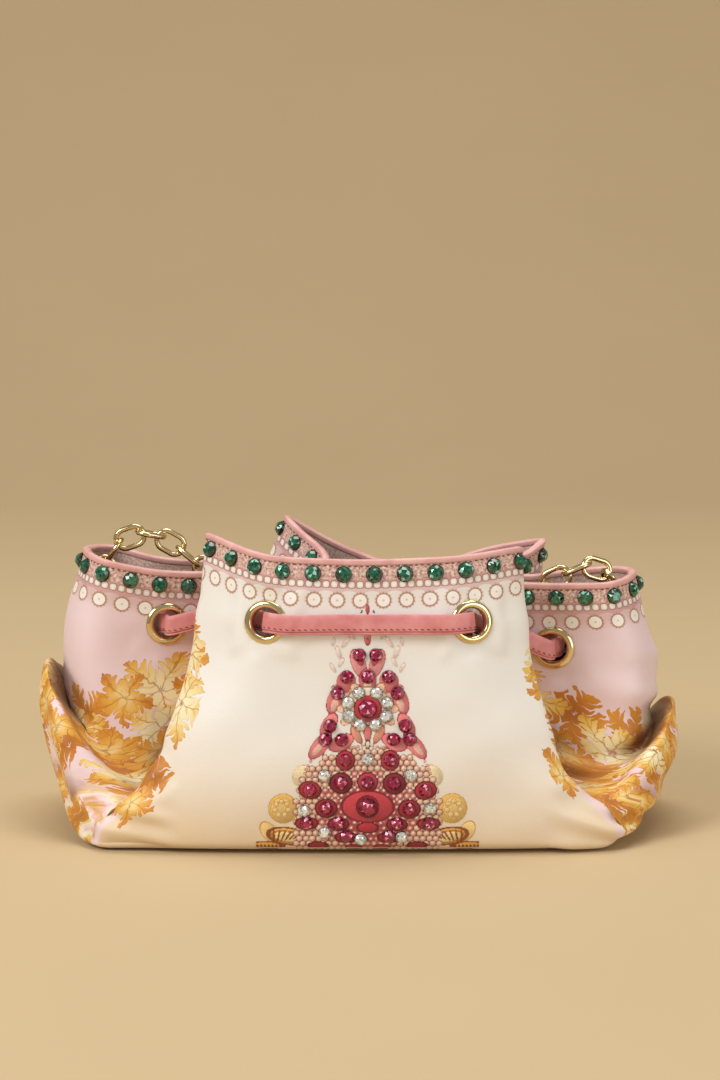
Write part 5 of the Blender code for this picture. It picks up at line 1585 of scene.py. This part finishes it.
def chain():
    """Links of round wire in place of the solids' own, and the anchors, which keep theirs."""
    bend, straight = (LINK_WIDTH - LINK_WIRE) / 2, (LINK_LENGTH - LINK_WIDTH) / 2
    for name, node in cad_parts.items():
        if not name.startswith("chain_link"):
            continue
        centre, tangent, across, normal = link_frame(node)
        pile, points = Pile(), []
        for i in range(LINK_STEPS):
            angle = math.tau * (i + 0.5) / LINK_STEPS
            out = math.cos(angle) * tangent + math.sin(angle) * across
            place = centre + math.copysign(straight, math.cos(angle)) * tangent + bend * out
            for turn in np.arange(WIRE_SIDES) * math.tau / WIRE_SIDES:
                points.append(place + LINK_WIRE / 2 * (math.cos(turn) * out + math.sin(turn) * normal))
        pile.rings(np.array(points), WIRE_SIDES)
        link = pile.make(name + "_brass", [BRASS])
        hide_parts(name)
    for name in ("anchor_left", "anchor_right"):
        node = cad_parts[name]
        for slot in node.material_slots:
            slot.link = "OBJECT"
            slot.material = BRASS
        edge = node.modifiers.new("worn_edges", "BEVEL")
        edge.width, edge.segments, edge.limit_method = 0.25 * MM, 2, "ANGLE"


def dress():
    bag = cloth()
    trimmings = [binding(), binding_stitches(), *rim_stones(), *motif_stones(), motif_print()]
    eyelets()
    drawstring()
    chain()


# The floor in metres: its near end and half its width, where it starts to rise behind the bag, the
# radius of that rise and its top
FLOOR_NEAR, FLOOR_SIDE, RISE_START, RISE_RADIUS, FLOOR_TOP = -9.0, 8.0, 0.9, 0.9, 3.2
# Soft lamps: name, place and size in metres, power in watts and tint
LAMPS = (
    ("key", (-1.15, -0.95, 1.15), (0.8, 0.8), 19, "#fffdfa"),
    ("fill", (1.3, -1.2, 0.6), (1.1, 1.1), 8.5, "#fffefc"),
    ("top", (0.1, 0.15, 1.5), (1.2, 0.7), 12, "#fffcf8"),
)
# The point that the lamps face, about halfway up the bag
LAMPS_FACE = Vector((0, 0, 0.05))


def backdrop():
    """A pale paper floor that rises behind the bag."""
    made, tree, shader = finish("pale_paper", Roughness=0.9)
    grain = add(tree, "TexNoise", add(tree, "TexCoord", out=3), None, 8.0, 3.0)
    grain = add(tree, "ValToRGB", grain, stops=((0.3, "#c8b18a"), (0.7, "#cab38c")))
    tree.links.new(grain, shader.inputs["Base Color"])
    profile = [(FLOOR_NEAR, 0.0), (RISE_START, 0.0)]
    for turn in np.linspace(0.1, math.pi / 2, 14):
        profile.append((RISE_START + RISE_RADIUS * math.sin(turn), RISE_RADIUS * (1 - math.cos(turn))))
    profile.append((RISE_START + RISE_RADIUS, FLOOR_TOP))
    points = [(x, y, z) for y, z in profile for x in (-FLOOR_SIDE, FLOOR_SIDE)]
    faces = [(2 * i, 2 * i + 1, 2 * i + 3, 2 * i + 2) for i in range(len(profile) - 1)]
    floor = piece("floor", points, faces, [made], body=None)


def surroundings():
    """The floor, an even pale room, soft lamps and the camera."""
    backdrop()
    world = bpy.data.worlds.new("room")
    SCENE.world = world
    world.use_nodes = True
    room = world.node_tree.nodes["Background"]
    room.inputs["Color"].default_value = colour("#faf6f0")
    room.inputs["Strength"].default_value = 0.36
    for name, place, size, power, tint in LAMPS:
        lamp = bpy.data.lights.new(name, "AREA")
        lamp.shape, (lamp.size, lamp.size_y) = "RECTANGLE", size
        lamp.energy, lamp.color = power, colour(tint)[:3]
        holder = bpy.data.objects.new(name, lamp)
        holder.location = place
        holder.rotation_euler = (LAMPS_FACE - Vector(place)).to_track_quat("-Z", "Y").to_euler()
        SCENE.collection.objects.link(holder)
    eye = bpy.data.cameras.new("eye")
    eye.sensor_fit, eye.sensor_height, eye.lens = "VERTICAL", 36, 93.5
    camera = bpy.data.objects.new("eye", eye)
    camera.location, camera.rotation_euler = (0, -1.13584, 0.29590), (math.radians(81), 0, 0)
    SCENE.collection.objects.link(camera)
    SCENE.camera = camera
    SCENE.view_settings.view_transform = "Standard"


surroundings()
dress()
